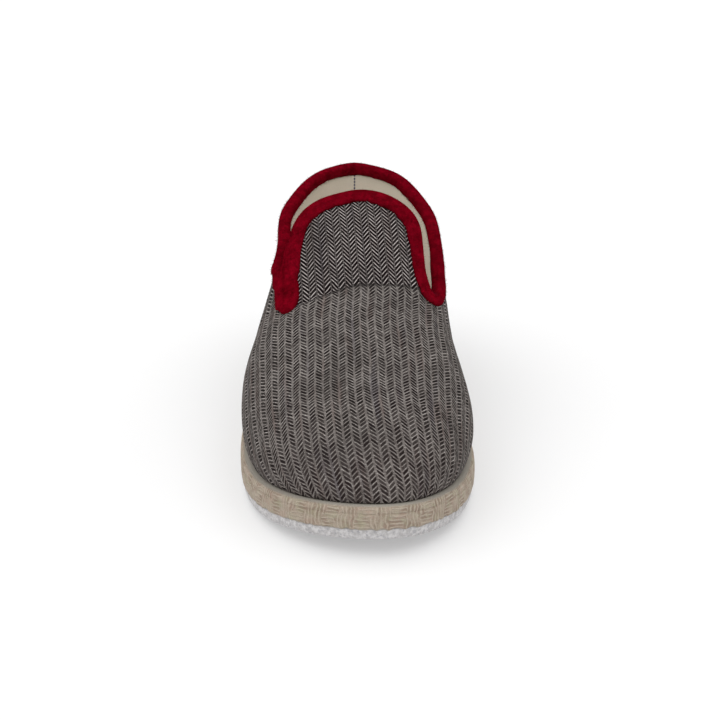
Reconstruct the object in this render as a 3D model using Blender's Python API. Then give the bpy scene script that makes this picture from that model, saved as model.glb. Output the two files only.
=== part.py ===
"""House slipper for the right foot: tweed upper, felt binding, wrapped midsole, rubber outsole.

The toe points to -Y, the inner (medial) side to +X, and the sole stands on Z = 0.
"""
import bpy
import bmesh
import numpy as np
from mathutils import Vector
from mathutils.geometry import delaunay_2d_cdt

# Driving sizes, in metres
SHOE_LENGTH = 0.285
BALL_WIDTH = 0.105
TOE_SPRING = 0.009
ARCH_LIFT = 0.0020
OUTSOLE_THICK = 0.0045
MIDSOLE_THICK = 0.0100
HEEL_WEDGE = 0.0020
OUTSOLE_EDGE_ROUND = 0.0016
MIDSOLE_EDGE_ROUND = 0.0030
LEDGE_GROOVE = 0.0006
FEATHER_INSET = 0.0040
INSOLE_THICK = 0.0040
INSOLE_EDGE_SLOPE = 0.0020
INSOLE_GAP = 0.0010
WALL = 0.0030
INSTEP_RISE = 0.0560
TONGUE_RISE = 0.0330
HEEL_RISE = 0.0780
SIDE_SWELL = 0.0038
SWELL_HEIGHT = 0.0170
TONGUE_HALF_WIDTH = 0.0330
SLOT_WIDTH = 0.0048
BINDING_WIDTH = 0.0078
BINDING_AT_SLOT = 0.0048
BINDING_TURN_IN = 0.0043
BINDING_THICK = 0.0011
CLEARANCE = 0.0003
SPRING_POWER = 1.7
HOLD_RATE = 2.5

# Where things lie along the shoe, as shares of its length
SPRING_START = 0.27
FOREFOOT_FLAT_END = 0.42
HEEL_FLAT_START = 0.70
NOTCH_LATERAL = 0.451
NOTCH_MEDIAL = 0.484
TONGUE_TIP = 0.650

# Mesh fineness
STATIONS = 36
SKIN_SPACING = 0.0076
TOE_SPACING = 0.0050
TOE_SHARE = 0.20
FAN_END = 0.45
EDGE_SPACING = 0.0055
SLOT_END_STEPS = 6
FILL_CLEAR = 0.62
FILL_SAMPLES = 181
LAST_SAMPLES = 120
OUTLINE_SAMPLES = 1200
TURN_IN_STEPS = 4
PROBE = 0.0002
SHARP_ANGLE = 0.7

# Outline of the sole, seen from above: shares of SHOE_LENGTH from the toe and of BALL_WIDTH across
OUTLINE_COLUMNS = ("along", "across")
OUTLINE = (
    (0.000, 0.100),
    (0.014, 0.205),
    (0.050, 0.310),
    (0.110, 0.405),
    (0.190, 0.470),
    (0.280, 0.500),
    (0.390, 0.480),
    (0.510, 0.447),
    (0.640, 0.425),
    (0.780, 0.407),
    (0.890, 0.348),
    (0.965, 0.235),
    (1.000, 0.035),
    (0.965, -0.170),
    (0.890, -0.280),
    (0.780, -0.341),
    (0.640, -0.356),
    (0.510, -0.436),
    (0.400, -0.497),
    (0.300, -0.500),
    (0.200, -0.468),
    (0.115, -0.387),
    (0.050, -0.255),
    (0.014, -0.110),
)

# Sections of the upper: along is a share of the upper's own length, instep and cone are shares
# of INSTEP_RISE and TONGUE_RISE in the height of the centre line, fullness is the power of the
# arch, ridge is how far the centre line lies to the medial side as a share of the half width,
# swell is a share of SIDE_SWELL and hold is how much of it the wall keeps higher up
SECTION_COLUMNS = ("along", "instep", "cone", "fullness", "ridge", "swell", "hold")
SECTIONS = (
    (0.000, 0.00, 0.00, 2.00, 0.00, 0.30, 0.0),
    (0.020, 0.20, 0.00, 2.15, 0.00, 0.60, 0.0),
    (0.070, 0.41, 0.00, 2.35, 0.00, 0.90, 0.1),
    (0.150, 0.60, 0.00, 2.60, 0.00, 1.00, 0.2),
    (0.260, 0.76, 0.00, 2.95, 0.02, 1.00, 0.3),
    (0.370, 0.89, 0.00, 3.35, 0.04, 1.00, 0.5),
    (0.455, 0.98, 0.00, 3.70, 0.06, 1.00, 0.7),
    (0.480, 1.00, 0.08, 3.80, 0.06, 1.00, 0.8),
    (0.530, 1.00, 0.36, 3.95, 0.06, 1.00, 0.9),
    (0.600, 1.00, 0.76, 4.20, 0.06, 1.00, 1.0),
    (0.650, 1.00, 0.98, 4.60, 0.06, 1.00, 1.0),
    (0.760, 1.00, 1.30, 5.20, 0.05, 1.00, 1.0),
    (0.900, 1.00, 1.60, 5.50, 0.00, 1.00, 0.6),
    (1.000, 1.00, 1.60, 5.00, 0.00, 1.00, 0.3),
)

# Top line of the two quarters from the notches to the heel: heights are shares of the way up from
# the bottom of that side's slot to HEEL_RISE
TOP_LINE_COLUMNS = ("along", "lateral", "medial")
TOP_LINE = (
    (0.530, 0.285, 0.085),
    (0.563, 0.357, 0.246),
    (0.606, 0.412, 0.346),
    (0.650, 0.487, 0.446),
    (0.708, 0.545, 0.535),
    (0.780, 0.620, 0.607),
    (0.838, 0.678, 0.667),
    (0.899, 0.792, 0.785),
    (0.945, 0.906, 0.902),
    (1.000, 1.000, 1.000),
)

# Edge of the tongue from each notch up to its tip: run is a share of that way and across a
# share of TONGUE_HALF_WIDTH
TONGUE_COLUMNS = ("run", "across")
TONGUE_LATERAL = (
    (0.000, 0.970),
    (0.245, 1.010),
    (0.450, 1.050),
    (0.600, 1.055),
    (0.700, 1.035),
    (0.785, 0.955),
    (0.845, 0.835),
    (0.900, 0.655),
    (0.957, 0.370),
    (1.000, 0.090),
)
TONGUE_MEDIAL = (
    (0.000, 1.000),
    (0.120, 0.930),
    (0.275, 0.890),
    (0.450, 0.858),
    (0.626, 0.805),
    (0.755, 0.676),
    (0.855, 0.490),
    (0.925, 0.330),
    (0.973, 0.180),
)

# Side of the midsole from the bottom up: shares of its height, and how far it steps in
SIDE_COLUMNS = ("height", "inset", "groove")
MIDSOLE_SIDE = (
    (0.00, 0.25, 0.0),
    (0.10, 0.00, 0.0),
    (0.60, 0.00, 0.0),
    (0.66, 0.00, 1.0),
    (0.72, 0.05, 0.0),
    (0.86, 0.20, 0.0),
    (0.96, 0.60, 0.0),
    (1.00, 1.00, 0.0),
)

# Side of the outsole and of the insole, from the bottom up
OUTSOLE_SIDE = (
    (0.00, 1.00, 0.0),
    (0.30, 0.55, 0.0),
    (1.00, 0.45, 0.0),
)
INSOLE_SIDE = (
    (0.00, 0.00, 0.0),
    (0.85, 0.70, 0.0),
    (1.00, 1.00, 0.0),
)

# Section of the binding where it folds over the edge: how far each of its corners lies beyond
# the cloth's end and down through the cloth, as shares of its own reach and of WALL
LIP = 0.55
FOLD = 0.85


def column(rows, columns, name):
    """One named column of a table, as an array."""
    return np.array([row[columns.index(name)] for row in rows])


def spline_slopes(knots, values):
    """Slopes of the C2 curve through the values, held straight at both ends."""
    step = np.diff(knots)
    count = len(knots)
    matrix = np.zeros((count, count))
    right = np.zeros(count)
    for i in range(1, count - 1):
        matrix[i, i - 1:i + 2] = 1 / step[i - 1], 2 / step[i - 1] + 2 / step[i], 1 / step[i]
        right[i] = 3 * ((values[i] - values[i - 1]) / step[i - 1] ** 2
                        + (values[i + 1] - values[i]) / step[i] ** 2)
    matrix[0, :2] = 2, 1
    right[0] = 3 * (values[1] - values[0]) / step[0]
    matrix[-1, -2:] = 1, 2
    right[-1] = 3 * (values[-1] - values[-2]) / step[-1]
    return np.linalg.solve(matrix, right)


def curve(knots, values, slopes, at):
    """Cubic through the knots at any place; outside them it keeps the end value."""
    at = np.clip(at, knots[0], knots[-1])
    i = np.clip(np.searchsorted(knots, at) - 1, 0, len(knots) - 2)
    step = knots[i + 1] - knots[i]
    t = (at - knots[i]) / step
    return (values[i] * (1 + 2 * t) * (1 - t) ** 2 + slopes[i] * step * t * (1 - t) ** 2
            + values[i + 1] * t * t * (3 - 2 * t) - slopes[i + 1] * step * t * t * (1 - t))


def gentle_slopes(knots, values):
    """Slopes that never overshoot between rows of a table."""
    rise = np.diff(values) / np.diff(knots)
    slopes = np.zeros(len(knots))
    same = rise[:-1] * rise[1:] > 0
    slopes[1:-1][same] = 2 * rise[:-1][same] * rise[1:][same] / (rise[:-1][same] + rise[1:][same])
    slopes[0] = rise[0]
    slopes[-1] = rise[-1]
    return slopes


def smooth(share):
    """Ease from 0 to 1."""
    t = np.clip(share, 0, 1)
    return t * t * (3 - 2 * t)


def smooth_path(points):
    """Dense points on the smooth curve through a few chosen points."""
    points = np.array(points, float)
    chord = np.concatenate([[0], np.cumsum(np.hypot(*np.diff(points, axis=0).T))])
    fine = np.linspace(0, chord[-1], 40 * len(points))
    return np.stack([curve(chord, axis, spline_slopes(chord, axis), fine) for axis in points.T], 1)


def sole_outline():
    """Closed outline of the sole as many points, toe tip first, medial side first."""
    along = column(OUTLINE, OUTLINE_COLUMNS, "along") * SHOE_LENGTH
    across = column(OUTLINE, OUTLINE_COLUMNS, "across") * BALL_WIDTH
    points = np.stack([across, along], 1)
    lap = len(points)
    wrapped = np.concatenate([points[-4:], points, points[:5]])
    chord = np.concatenate([[0], np.cumsum(np.hypot(*np.diff(wrapped, axis=0).T))])
    fine = np.linspace(chord[4], chord[4 + lap], OUTLINE_SAMPLES, endpoint=False)
    loop = np.stack([curve(chord, axis, spline_slopes(chord, axis), fine) for axis in wrapped.T], 1)
    low, high = loop.min(axis=0), loop.max(axis=0)
    loop = (loop - low) / (high - low) * (BALL_WIDTH, SHOE_LENGTH)
    return loop - (BALL_WIDTH / 2, 0)


def plan_normals(loop):
    """Outward normals of a closed outline that runs with the shoe on its left."""
    tangent = np.roll(loop, -1, axis=0) - np.roll(loop, 1, axis=0)
    normal = np.stack([tangent[:, 1], -tangent[:, 0]], 1)
    return normal / np.linalg.norm(normal, axis=1)[:, None]


class Rim:
    """The sole's outline moved inwards, read by roll: 0 at the toe tip and 1 at the heel."""

    def __init__(self, inset):
        loop = sole_outline()
        normal = plan_normals(loop)
        loop = loop - inset * normal
        self.toe = loop[:, 1].min()
        self.heel = loop[:, 1].max()
        first = int(loop[:, 1].argmin())
        loop = np.roll(loop, -first, axis=0)
        normal = np.roll(normal, -first, axis=0)
        turn = int(loop[:, 1].argmax())
        medial = np.arange(0, turn + 1)
        lateral = np.concatenate([[0], np.arange(len(loop) - 1, turn - 1, -1)])
        self.sides = {1: (loop[medial], normal[medial]), -1: (loop[lateral], normal[lateral])}

    def station(self, roll):
        """Distance from the toe of a roll share."""
        return self.toe + (self.heel - self.toe) * (1 - np.cos(np.pi * np.asarray(roll))) / 2

    def roll(self, along):
        """Roll share of a share of the rim's own length."""
        return np.arccos(1 - 2 * np.asarray(along)) / np.pi

    def across(self, roll, side):
        """Place across of the rim on one side."""
        points, _ = self.sides[side]
        return np.interp(self.station(roll), points[:, 1], points[:, 0])

    def outward(self, roll, side):
        """Plan normal of the rim on one side."""
        points, normals = self.sides[side]
        at = self.station(roll)
        return np.stack([np.interp(at, points[:, 1], axis) for axis in normals.T], -1)


def ground_lift(along):
    """Height of the outsole's underside: spring at the toe, arch at the waist, flat between."""
    share = np.asarray(along) / SHOE_LENGTH
    spring = TOE_SPRING * np.clip((SPRING_START - share) / SPRING_START, 0, None) ** SPRING_POWER
    waist = np.clip((share - FOREFOOT_FLAT_END) / (HEEL_FLAT_START - FOREFOOT_FLAT_END), 0, 1)
    return spring + ARCH_LIFT * np.sin(np.pi * waist) ** 2


def wedge(along):
    """How much thicker the midsole is towards the heel."""
    share = np.asarray(along) / SHOE_LENGTH
    t = np.clip((share - SPRING_START) / (HEEL_FLAT_START - SPRING_START), 0, 1)
    return HEEL_WEDGE * t * t * (3 - 2 * t)


def midsole_bottom(along):
    return ground_lift(along) + OUTSOLE_THICK + CLEARANCE


def midsole_top(along):
    return midsole_bottom(along) + MIDSOLE_THICK + wedge(along)


def footbed(along):
    """Level on which upper and insole sit."""
    return midsole_top(along) + CLEARANCE


def to_frame(across, along, height):
    """Shoe measures to the part's frame."""
    return np.stack(np.broadcast_arrays(across, np.asarray(along) - SHOE_LENGTH / 2, height), -1)


def new_object(name, vertices, faces, colour, roughness):
    """A closed piece with its own material, outward faces and smooth shading."""
    mesh = bpy.data.meshes.new(name)
    mesh.from_pydata([tuple(v) for v in vertices], [], faces)
    work = bmesh.new()
    work.from_mesh(mesh)
    bmesh.ops.triangulate(work, faces=work.faces)
    bmesh.ops.recalc_face_normals(work, faces=work.faces)
    work.to_mesh(mesh)
    work.free()
    mesh.shade_smooth()
    mesh.set_sharp_from_angle(angle=SHARP_ANGLE)
    material = bpy.data.materials.new(name)
    material.use_nodes = True
    shader = material.node_tree.nodes["Principled BSDF"]
    shader.inputs["Base Color"].default_value = (*colour, 1)
    shader.inputs["Roughness"].default_value = roughness
    shader.inputs["Metallic"].default_value = 0
    mesh.materials.append(material)
    piece = bpy.data.objects.new(name, mesh)
    bpy.context.scene.collection.objects.link(piece)
    return piece


def slab(name, rows, bottom, top, colour, roughness):
    """A sole layer: rings up its side, each moved in by its own inset, capped by crosswise strips."""
    rolls = np.linspace(0, 1, STATIONS + 1)
    count = 2 * STATIONS
    vertices = []
    for share, inset in rows:
        rim = Rim(inset)
        along = rim.station(rolls)
        height = bottom(along) + share * (top(along) - bottom(along))
        medial = to_frame(rim.across(rolls, 1), along, height)
        lateral = to_frame(rim.across(rolls, -1), along, height)
        vertices += list(medial) + list(lateral[-2:0:-1])
    faces = []
    for ring in range(len(rows) - 1):
        for i in range(count):
            a = ring * count + i
            b = ring * count + (i + 1) % count
            faces.append((a, b, b + count, a + count))
    for first in (0, (len(rows) - 1) * count):
        for i in range(STATIONS):
            left = [first + i, first + i + 1]
            right = [first + (count - i - 1) % count, first + (count - i) % count]
            faces.append(tuple(dict.fromkeys(left + right)))
    return new_object(name, vertices, faces, colour, roughness)


class Last:
    """The upper's outer surface over a last, read by roll along and girth distance from the ridge."""

    def __init__(self):
        self.rim = Rim(FEATHER_INSET)
        self.knots = self.rim.roll(column(SECTIONS, SECTION_COLUMNS, "along"))
        self.values = {name: column(SECTIONS, SECTION_COLUMNS, name) for name in SECTION_COLUMNS}
        self.slopes = {name: gentle_slopes(self.knots, v) for name, v in self.values.items()}

    def read(self, name, roll):
        return curve(self.knots, self.values[name], self.slopes[name], roll)

    def half_section(self, roll, side):
        """Points from the ridge down to the feather line on one side, at many rolls."""
        roll = np.atleast_1d(roll)[:, None]
        turn = np.linspace(np.pi / 2, 0, LAST_SAMPLES)[None, :]
        power = 2 / self.read("fullness", roll)
        rise = self.read("instep", roll) * INSTEP_RISE + self.read("cone", roll) * TONGUE_RISE
        along = self.rim.station(roll)
        edge = self.rim.across(roll, side)
        far = self.rim.across(roll, -side)
        centre = (edge + far) / 2 + self.read("ridge", roll) * abs(edge - far) / 2
        across = centre + (edge - centre) * np.cos(turn).clip(0) ** power
        lift = rise * np.sin(turn) ** power
        reach = lift / SWELL_HEIGHT
        hold = self.read("hold", roll)
        swell = (1 - hold) * reach * np.exp(1 - reach) + hold * (1 - np.exp(-HOLD_RATE * reach))
        swell = swell * SIDE_SWELL * self.read("swell", roll) * np.cos(turn).clip(0) ** 0.5
        outward = self.rim.outward(roll, side) * swell[..., None]
        return to_frame(across + outward[..., 0], along + outward[..., 1], footbed(along) + lift)

    def girth(self, roll, side):
        """Length from the ridge to the feather line."""
        points = self.half_section(roll, side)
        return np.linalg.norm(np.diff(points, axis=1), axis=2).sum(axis=1)

    def point(self, roll, girth):
        """Surface point at signed girth distance from the ridge, medial side positive."""
        roll, girth = np.broadcast_arrays(np.atleast_1d(roll), np.atleast_1d(girth))
        found = np.zeros((len(roll), 3))
        for side in (-1, 1):
            mine = np.where((girth >= 0) == (side > 0))[0]
            if len(mine) == 0:
                continue
            points = self.half_section(roll[mine], side)
            steps = np.linalg.norm(np.diff(points, axis=1), axis=2)
            run = np.concatenate([np.zeros((len(mine), 1)), np.cumsum(steps, axis=1)], axis=1)
            for row, i in enumerate(mine):
                at = min(abs(girth[i]), run[row, -1])
                found[i] = [np.interp(at, run[row], points[row, :, axis]) for axis in range(3)]
        return found

    def girth_at_height(self, roll, side, lift):
        """Girth distance at which the side stands a given height above the footbed."""
        points = self.half_section(roll, side)[0]
        run = np.concatenate([[0], np.cumsum(np.linalg.norm(np.diff(points, axis=0), axis=1))])
        height = points[:, 2] - footbed(self.rim.station(roll))
        return float(np.interp(-lift, -height, run))


class Pattern:
    """The upper laid flat: x is the mean run along ridge and feather line, y the girth distance."""

    def __init__(self, last):
        self.last = last
        self.rolls = np.linspace(0, 1, 241)
        ridge = last.half_section(self.rolls, 1)[:, 0]
        feather = (last.half_section(self.rolls, 1)[:, -1] + last.half_section(self.rolls, -1)[:, -1]) / 2
        spread = (last.half_section(self.rolls, 1)[:, -1] - last.half_section(self.rolls, -1)[:, -1]) / 2
        steps = np.linalg.norm(np.diff(ridge, axis=0), axis=1)
        steps = steps + np.linalg.norm(np.diff(feather, axis=0), axis=1)
        steps = steps + np.linalg.norm(np.diff(spread, axis=0), axis=1)
        self.run = np.concatenate([[0], np.cumsum(steps)]) / 2
        self.end = self.run[-1]
        self.widths = {side: last.girth(self.rolls, side) for side in (-1, 1)}

    def roll(self, run):
        return np.interp(run, self.run, self.rolls)

    def run_at(self, along):
        """Run of a share of the upper's length."""
        return np.interp(self.last.rim.roll(along), self.rolls, self.run)

    def sheet(self, flat):
        """Flat points on a working sheet that fans out round the toe, for even triangles there."""
        run, girth = np.asarray(flat).T
        lateral, medial = (np.interp(run, self.run, self.widths[side]) for side in (-1, 1))
        width = np.maximum(np.where(girth > 0, medial, lateral), CLEARANCE)
        fan = np.pi / 2 * (1 - smooth(run / self.run_at(FAN_END)))
        turn = fan * girth / width
        return np.stack([run * np.cos(turn), girth * np.sinc(turn / np.pi)], 1)

    def solid(self, flat):
        """Flat points to surface points."""
        flat = np.asarray(flat)
        return self.last.point(self.roll(flat[:, 0]), flat[:, 1])


def tongue_side(pattern, side):
    """Flat points up one side of the tongue, from the notch to the tip."""
    notch, rows = (NOTCH_MEDIAL, TONGUE_MEDIAL) if side > 0 else (NOTCH_LATERAL, TONGUE_LATERAL)
    start = pattern.run_at(notch)
    tip = pattern.run_at(TONGUE_TIP)
    run = start + (tip - start) * column(rows, TONGUE_COLUMNS, "run")
    across = side * TONGUE_HALF_WIDTH * column(rows, TONGUE_COLUMNS, "across")
    return list(zip(run, across))


def slot_end(foot, side):
    """Half circle round the bottom of a slot, from the quarter's edge to the tongue's foot."""
    turns = np.linspace(0, np.pi, SLOT_END_STEPS + 1)[:-1]
    radius = SLOT_WIDTH / 2
    run = foot[0] - radius * np.sin(turns)
    return np.stack([run, foot[1] + side * radius * (1 + np.cos(turns))], 1)


def slot_rise(pattern, side):
    """Height above the footbed at which the quarter's edge leaves its slot."""
    foot = tongue_side(pattern, side)[0]
    place = pattern.solid(slot_end(foot, side)[:1])[0]
    return place[2] - footbed(place[1] + SHOE_LENGTH / 2)


def top_girth(pattern, side, run):
    """Girth distance of the quarter's top line, level across the heel seam."""
    last = pattern.last
    knots = pattern.run_at(column(TOP_LINE, TOP_LINE_COLUMNS, "along"))
    shares = column(TOP_LINE, TOP_LINE_COLUMNS, "medial" if side > 0 else "lateral")
    low = slot_rise(pattern, side)
    lifts = low + shares * (HEEL_RISE - low)
    knots = np.concatenate([knots, 2 * pattern.end - knots[-2::-1]])
    lifts = np.concatenate([lifts, lifts[-2::-1]])
    heights = curve(knots, lifts, spline_slopes(knots, lifts), run)
    return side * np.array([last.girth_at_height(r, side, h) for r, h in zip(pattern.roll(run), heights)])


def spaced(track, spacing):
    """A dense path cut into even steps of about the given spacing."""
    run = np.concatenate([[0], np.cumsum(np.hypot(*np.diff(track, axis=0).T))])
    even = np.linspace(0, run[-1], int(round(run[-1] / spacing)) + 1)
    return np.stack([np.interp(even, run, axis) for axis in track.T], 1)


def opening_edge(pattern):
    """Edge of the collar, slots and tongue, from the lateral heel seam round to the medial one."""
    starts = pattern.run_at(column(TOP_LINE, TOP_LINE_COLUMNS, "along"))[:3]
    quarters = {}
    ends = {}
    tongues = {}
    for side in (-1, 1):
        tongues[side] = tongue_side(pattern, side)
        ends[side] = slot_end(tongues[side][0], side)
        joint = list(zip(starts, top_girth(pattern, side, starts)))
        low = smooth_path([tuple(ends[side][0])] + joint)
        low = low[low[:, 0] < starts[1]]
        high = np.linspace(starts[1], pattern.end, 90)
        high = np.stack([high, top_girth(pattern, side, high)], 1)
        ease = smooth((low[:, 0] - starts[0]) / (starts[1] - starts[0]))
        level = top_girth(pattern, side, np.maximum(low[:, 0], starts[0]))
        low[:, 1] += ease * (level - low[:, 1])
        quarters[side] = spaced(np.concatenate([low, high]), EDGE_SPACING)[1:]
    tip = spaced(smooth_path(tongues[-1] + tongues[1][::-1]), EDGE_SPACING)[:-1]
    return np.concatenate([quarters[-1][::-1], ends[-1], tip, ends[1][::-1], quarters[1]])


def binding_depth(pattern, edge):
    """How far the binding reaches onto the cloth: less beside the slots than round the collar."""
    start = pattern.run_at(max(NOTCH_LATERAL, NOTCH_MEDIAL))
    tip = pattern.run_at(TONGUE_TIP)
    ease = smooth((edge[:, 0] - start) / (tip - start))
    return BINDING_AT_SLOT + (BINDING_WIDTH - BINDING_AT_SLOT) * ease


def step_in(pattern, flat, distance):
    """Flat points a real distance into the cloth from the opening's edge, by small steps."""
    moved = np.array(flat, float)
    for _ in range(TURN_IN_STEPS):
        here = pattern.solid(moved)
        along = (pattern.solid(moved - (PROBE, 0)) - here) / -PROBE
        across = (pattern.solid(moved + (0, PROBE)) - here) / PROBE
        before = np.vstack([moved[:1], moved[:-1]])
        after = np.vstack([moved[1:], moved[-1:]])
        track = after - before
        track[0, 1] = 0
        track[-1, 1] = 0
        tangent = along * track[:, :1] + across * track[:, 1:]
        normal = np.cross(along, across)
        inward = np.cross(normal, tangent)
        inward /= np.linalg.norm(inward, axis=1)[:, None]
        grid = np.stack([along, across], 2)
        shift = np.array([np.linalg.lstsq(g, d, rcond=None)[0] for g, d in zip(grid, inward)])
        shift[[0, -1], 0] = 0
        moved = moved + shift * distance[:, None] / TURN_IN_STEPS
        moved[0, 1] = -moved[-1, 1]
    return moved


def feather_line(pattern, side):
    """Flat points down one side where the upper meets the sole, closer together round the toe."""
    last = pattern.last
    dense = np.linspace(0, 1, 601)
    line = last.half_section(dense, side)[:, -1]
    run = np.concatenate([[0], np.cumsum(np.linalg.norm(np.diff(line, axis=0), axis=1))])
    toe = np.interp(pattern.roll(pattern.run_at(TOE_SHARE)), dense, run)
    near = np.linspace(0, toe, int(round(toe / TOE_SPACING)) + 1)
    rest = np.linspace(toe, run[-1], int(round((run[-1] - toe) / SKIN_SPACING)) + 1)
    rolls = np.interp(np.concatenate([near, rest[1:]]), run, dense)
    runs = np.interp(rolls, pattern.rolls, pattern.run)
    return list(zip(runs, side * last.girth(rolls, side)))


def fill_points(pattern, polygon, fixed):
    """Flat points that fill a polygon of the working sheet, clear of the points it already has."""
    toe = pattern.run_at(TOE_SHARE)
    runs = np.linspace(0, pattern.end, FILL_SAMPLES)[1:-1]
    shares = np.linspace(-1, 1, FILL_SAMPLES)[1:-1]
    lateral, medial = (np.interp(runs, pattern.run, pattern.widths[side]) for side in (-1, 1))
    girths = np.where(shares > 0, medial[:, None], lateral[:, None]) * shares
    flat = np.stack([np.repeat(runs, len(shares)), girths.ravel()], 1)
    sheet = pattern.sheet(flat)
    found = []
    for spacing, low, high in ((TOE_SPACING, 0, toe), (SKIN_SPACING, toe, pattern.end)):
        for point in grid_inside(polygon, spacing):
            if np.hypot(*(fixed - point).T).min() > FILL_CLEAR * spacing:
                pick = int(np.hypot(*(sheet - point).T).argmin())
                if low <= flat[pick, 0] < high:
                    found.append(tuple(flat[pick]))
    return found


def flat_mesh(pattern):
    """Triangles of the flat upper, with rows beside the opening kept parallel to its edge."""
    edge = opening_edge(pattern)
    depth = binding_depth(pattern, edge)
    turn_in = depth * BINDING_TURN_IN / BINDING_WIDTH
    rows = [edge, step_in(pattern, edge, turn_in), step_in(pattern, edge, depth)]
    points = [tuple(p) for row in rows for p in row]
    width = len(edge)
    links = []
    for row in range(3):
        links += [(row * width + i, row * width + i + 1) for i in range(width - 1)]
    for row in range(2):
        links += [(row * width + i, (row + 1) * width + i) for i in range(width)]
    feather = {side: feather_line(pattern, side) for side in (-1, 1)}
    girth_in = abs(rows[2][-1][1])
    girth_low = abs(feather[1][-1][1])
    steps = int(round((girth_low - girth_in) / SKIN_SPACING))
    seam = np.linspace(girth_in, girth_low, steps + 1)[1:-1]
    medial = [(pattern.end, g) for g in seam] + feather[1][::-1]
    lateral = feather[-1][1:] + [(pattern.end, -g) for g in seam[::-1]]
    first = len(points)
    points += medial + lateral
    around = [3 * width - 1] + list(range(first, len(points))) + [2 * width]
    links += list(zip(around[:-1], around[1:]))
    sheet = pattern.sheet(points)
    border = list(range(width)) + [2 * width - 1] + around + [width]
    polygon = sheet[border]
    points += fill_points(pattern, polygon, sheet)
    sheet = pattern.sheet(points)
    result = delaunay_2d_cdt([Vector(p) for p in sheet], links, [], 0, 1e-7)
    placed, source = result[0], [found[0] for found in result[3]]
    triangles = []
    for f in result[2]:
        if inside(np.mean([placed[i] for i in f], axis=0), polygon):
            triangles.append([source[i] for i in f])
    return np.array(points), triangles, [[row * width + i for i in range(width)] for row in range(3)]


def inside(point, polygon):
    """Whether a flat point lies within a polygon."""
    x, y = np.array(polygon).T
    next_x, next_y = np.roll(x, -1), np.roll(y, -1)
    cross = (y > point[1]) != (next_y > point[1])
    with np.errstate(divide="ignore", invalid="ignore"):
        meet = x + (point[1] - y) / (next_y - y) * (next_x - x)
    return bool(np.count_nonzero(cross & (point[0] < meet)) % 2)


def grid_inside(polygon, spacing):
    """Staggered points that fill a polygon."""
    corners = np.array(polygon)
    low, high = corners.min(axis=0), corners.max(axis=0)
    found = []
    for row, y in enumerate(np.arange(low[1], high[1], spacing * np.sqrt(0.75))):
        for x in np.arange(low[0] + spacing * (row % 2) / 2, high[0], spacing):
            if inside((x, y), polygon):
                found.append((x, y))
    return found


def vertex_normals(vertices, triangles):
    """Area-weighted unit normals of a skin, facing out of the shoe."""
    normals = np.zeros_like(vertices)
    corners = vertices[np.array(triangles)]
    face = np.cross(corners[:, 1] - corners[:, 0], corners[:, 2] - corners[:, 0])
    for corner in range(3):
        np.add.at(normals, np.array(triangles)[:, corner], face)
    return normals / np.linalg.norm(normals, axis=1)[:, None]


def merged(vertices, triangles):
    """Join the two sides of the heel seam, and say where each point went."""
    order = {}
    where = []
    kept = []
    for vertex in vertices:
        key = tuple(np.round(vertex / 1e-6).astype(int))
        if key not in order:
            order[key] = len(kept)
            kept.append(vertex)
        where.append(order[key])
    faces = [tuple(where[i] for i in f) for f in triangles]
    return np.array(kept), [f for f in faces if len(set(f)) == 3], where


def outer_skin():
    """Outer face of the upper: vertices, triangles, normals and the rows beside the opening."""
    pattern = Pattern(Last())
    flat, triangles, rows = flat_mesh(pattern)
    solid = pattern.solid(flat)
    vertices, triangles, where = merged(solid, triangles)
    corners = vertices[np.array(triangles)]
    face = np.cross(corners[:, 1] - corners[:, 0], corners[:, 2] - corners[:, 0])
    middle = corners.mean(axis=1) - (0, 0, footbed(0.5 * SHOE_LENGTH))
    middle[:, 1] = 0
    if (face * middle).sum() < 0:
        triangles = [f[::-1] for f in triangles]
    normals = vertex_normals(vertices, triangles)
    return vertices, triangles, normals, [[where[i] for i in row] for row in rows]


def border_links(triangles):
    """Edges that belong to one triangle only, in that triangle's order."""
    seen = {}
    for f in triangles:
        for a, b in zip(f, f[1:] + f[:1]):
            seen[(a, b)] = True
    return [(a, b) for a, b in seen if (b, a) not in seen]


def upper(skin):
    """Hollow shell: the outer face, the same face moved in by the wall, and their rims."""
    vertices, triangles, normals, rows = skin
    inner = vertices - WALL * normals
    collar = set(rows[0])
    for a, b in border_links(triangles):
        for i in (a, b):
            if i not in collar:
                level = normals[i] * (1, 1, 0)
                inner[i] = vertices[i] - WALL * level / np.linalg.norm(level)
    count = len(vertices)
    faces = list(triangles)
    faces += [tuple(i + count for i in f[::-1]) for f in triangles]
    faces += [(b, a, a + count, b + count) for a, b in border_links(triangles)]
    return new_object("upper", list(vertices) + list(inner), faces, (0.075, 0.062, 0.055), 0.95)


def binding(skin):
    """Felt strip folded over the opening's edge, following the upper's own face on both sides."""
    vertices, _, normals, rows = skin
    edge, mid, low = (vertices[row] for row in rows)
    edge_out, mid_out, low_out = (normals[row] for row in rows)
    away = edge - mid
    away /= np.linalg.norm(away, axis=1)[:, None]
    near = CLEARANCE
    far = CLEARANCE + BINDING_THICK
    lip = CLEARANCE + LIP * BINDING_THICK
    section = (
        low + low_out * near,
        low + low_out * lip,
        mid + mid_out * far,
        edge + edge_out * far,
        edge - edge_out * (WALL - FOLD * WALL) + away * far,
        edge - edge_out * (FOLD * WALL) + away * far,
        edge - edge_out * (WALL + far),
        mid - mid_out * (WALL + lip),
        mid - mid_out * (WALL + near),
        edge - edge_out * (WALL + near) + away * near,
        edge + edge_out * near + away * near,
        mid + mid_out * near,
    )
    around = len(section)
    stations = len(edge) - 1
    points = [row[i] for i in range(stations) for row in section]
    faces = []
    for i in range(stations):
        j = (i + 1) % stations
        for k in range(around):
            n = (k + 1) % around
            faces.append((i * around + k, i * around + n, j * around + n, j * around + k))
    return new_object("binding", points, faces, (0.42, 0.004, 0.022), 0.9)


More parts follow.
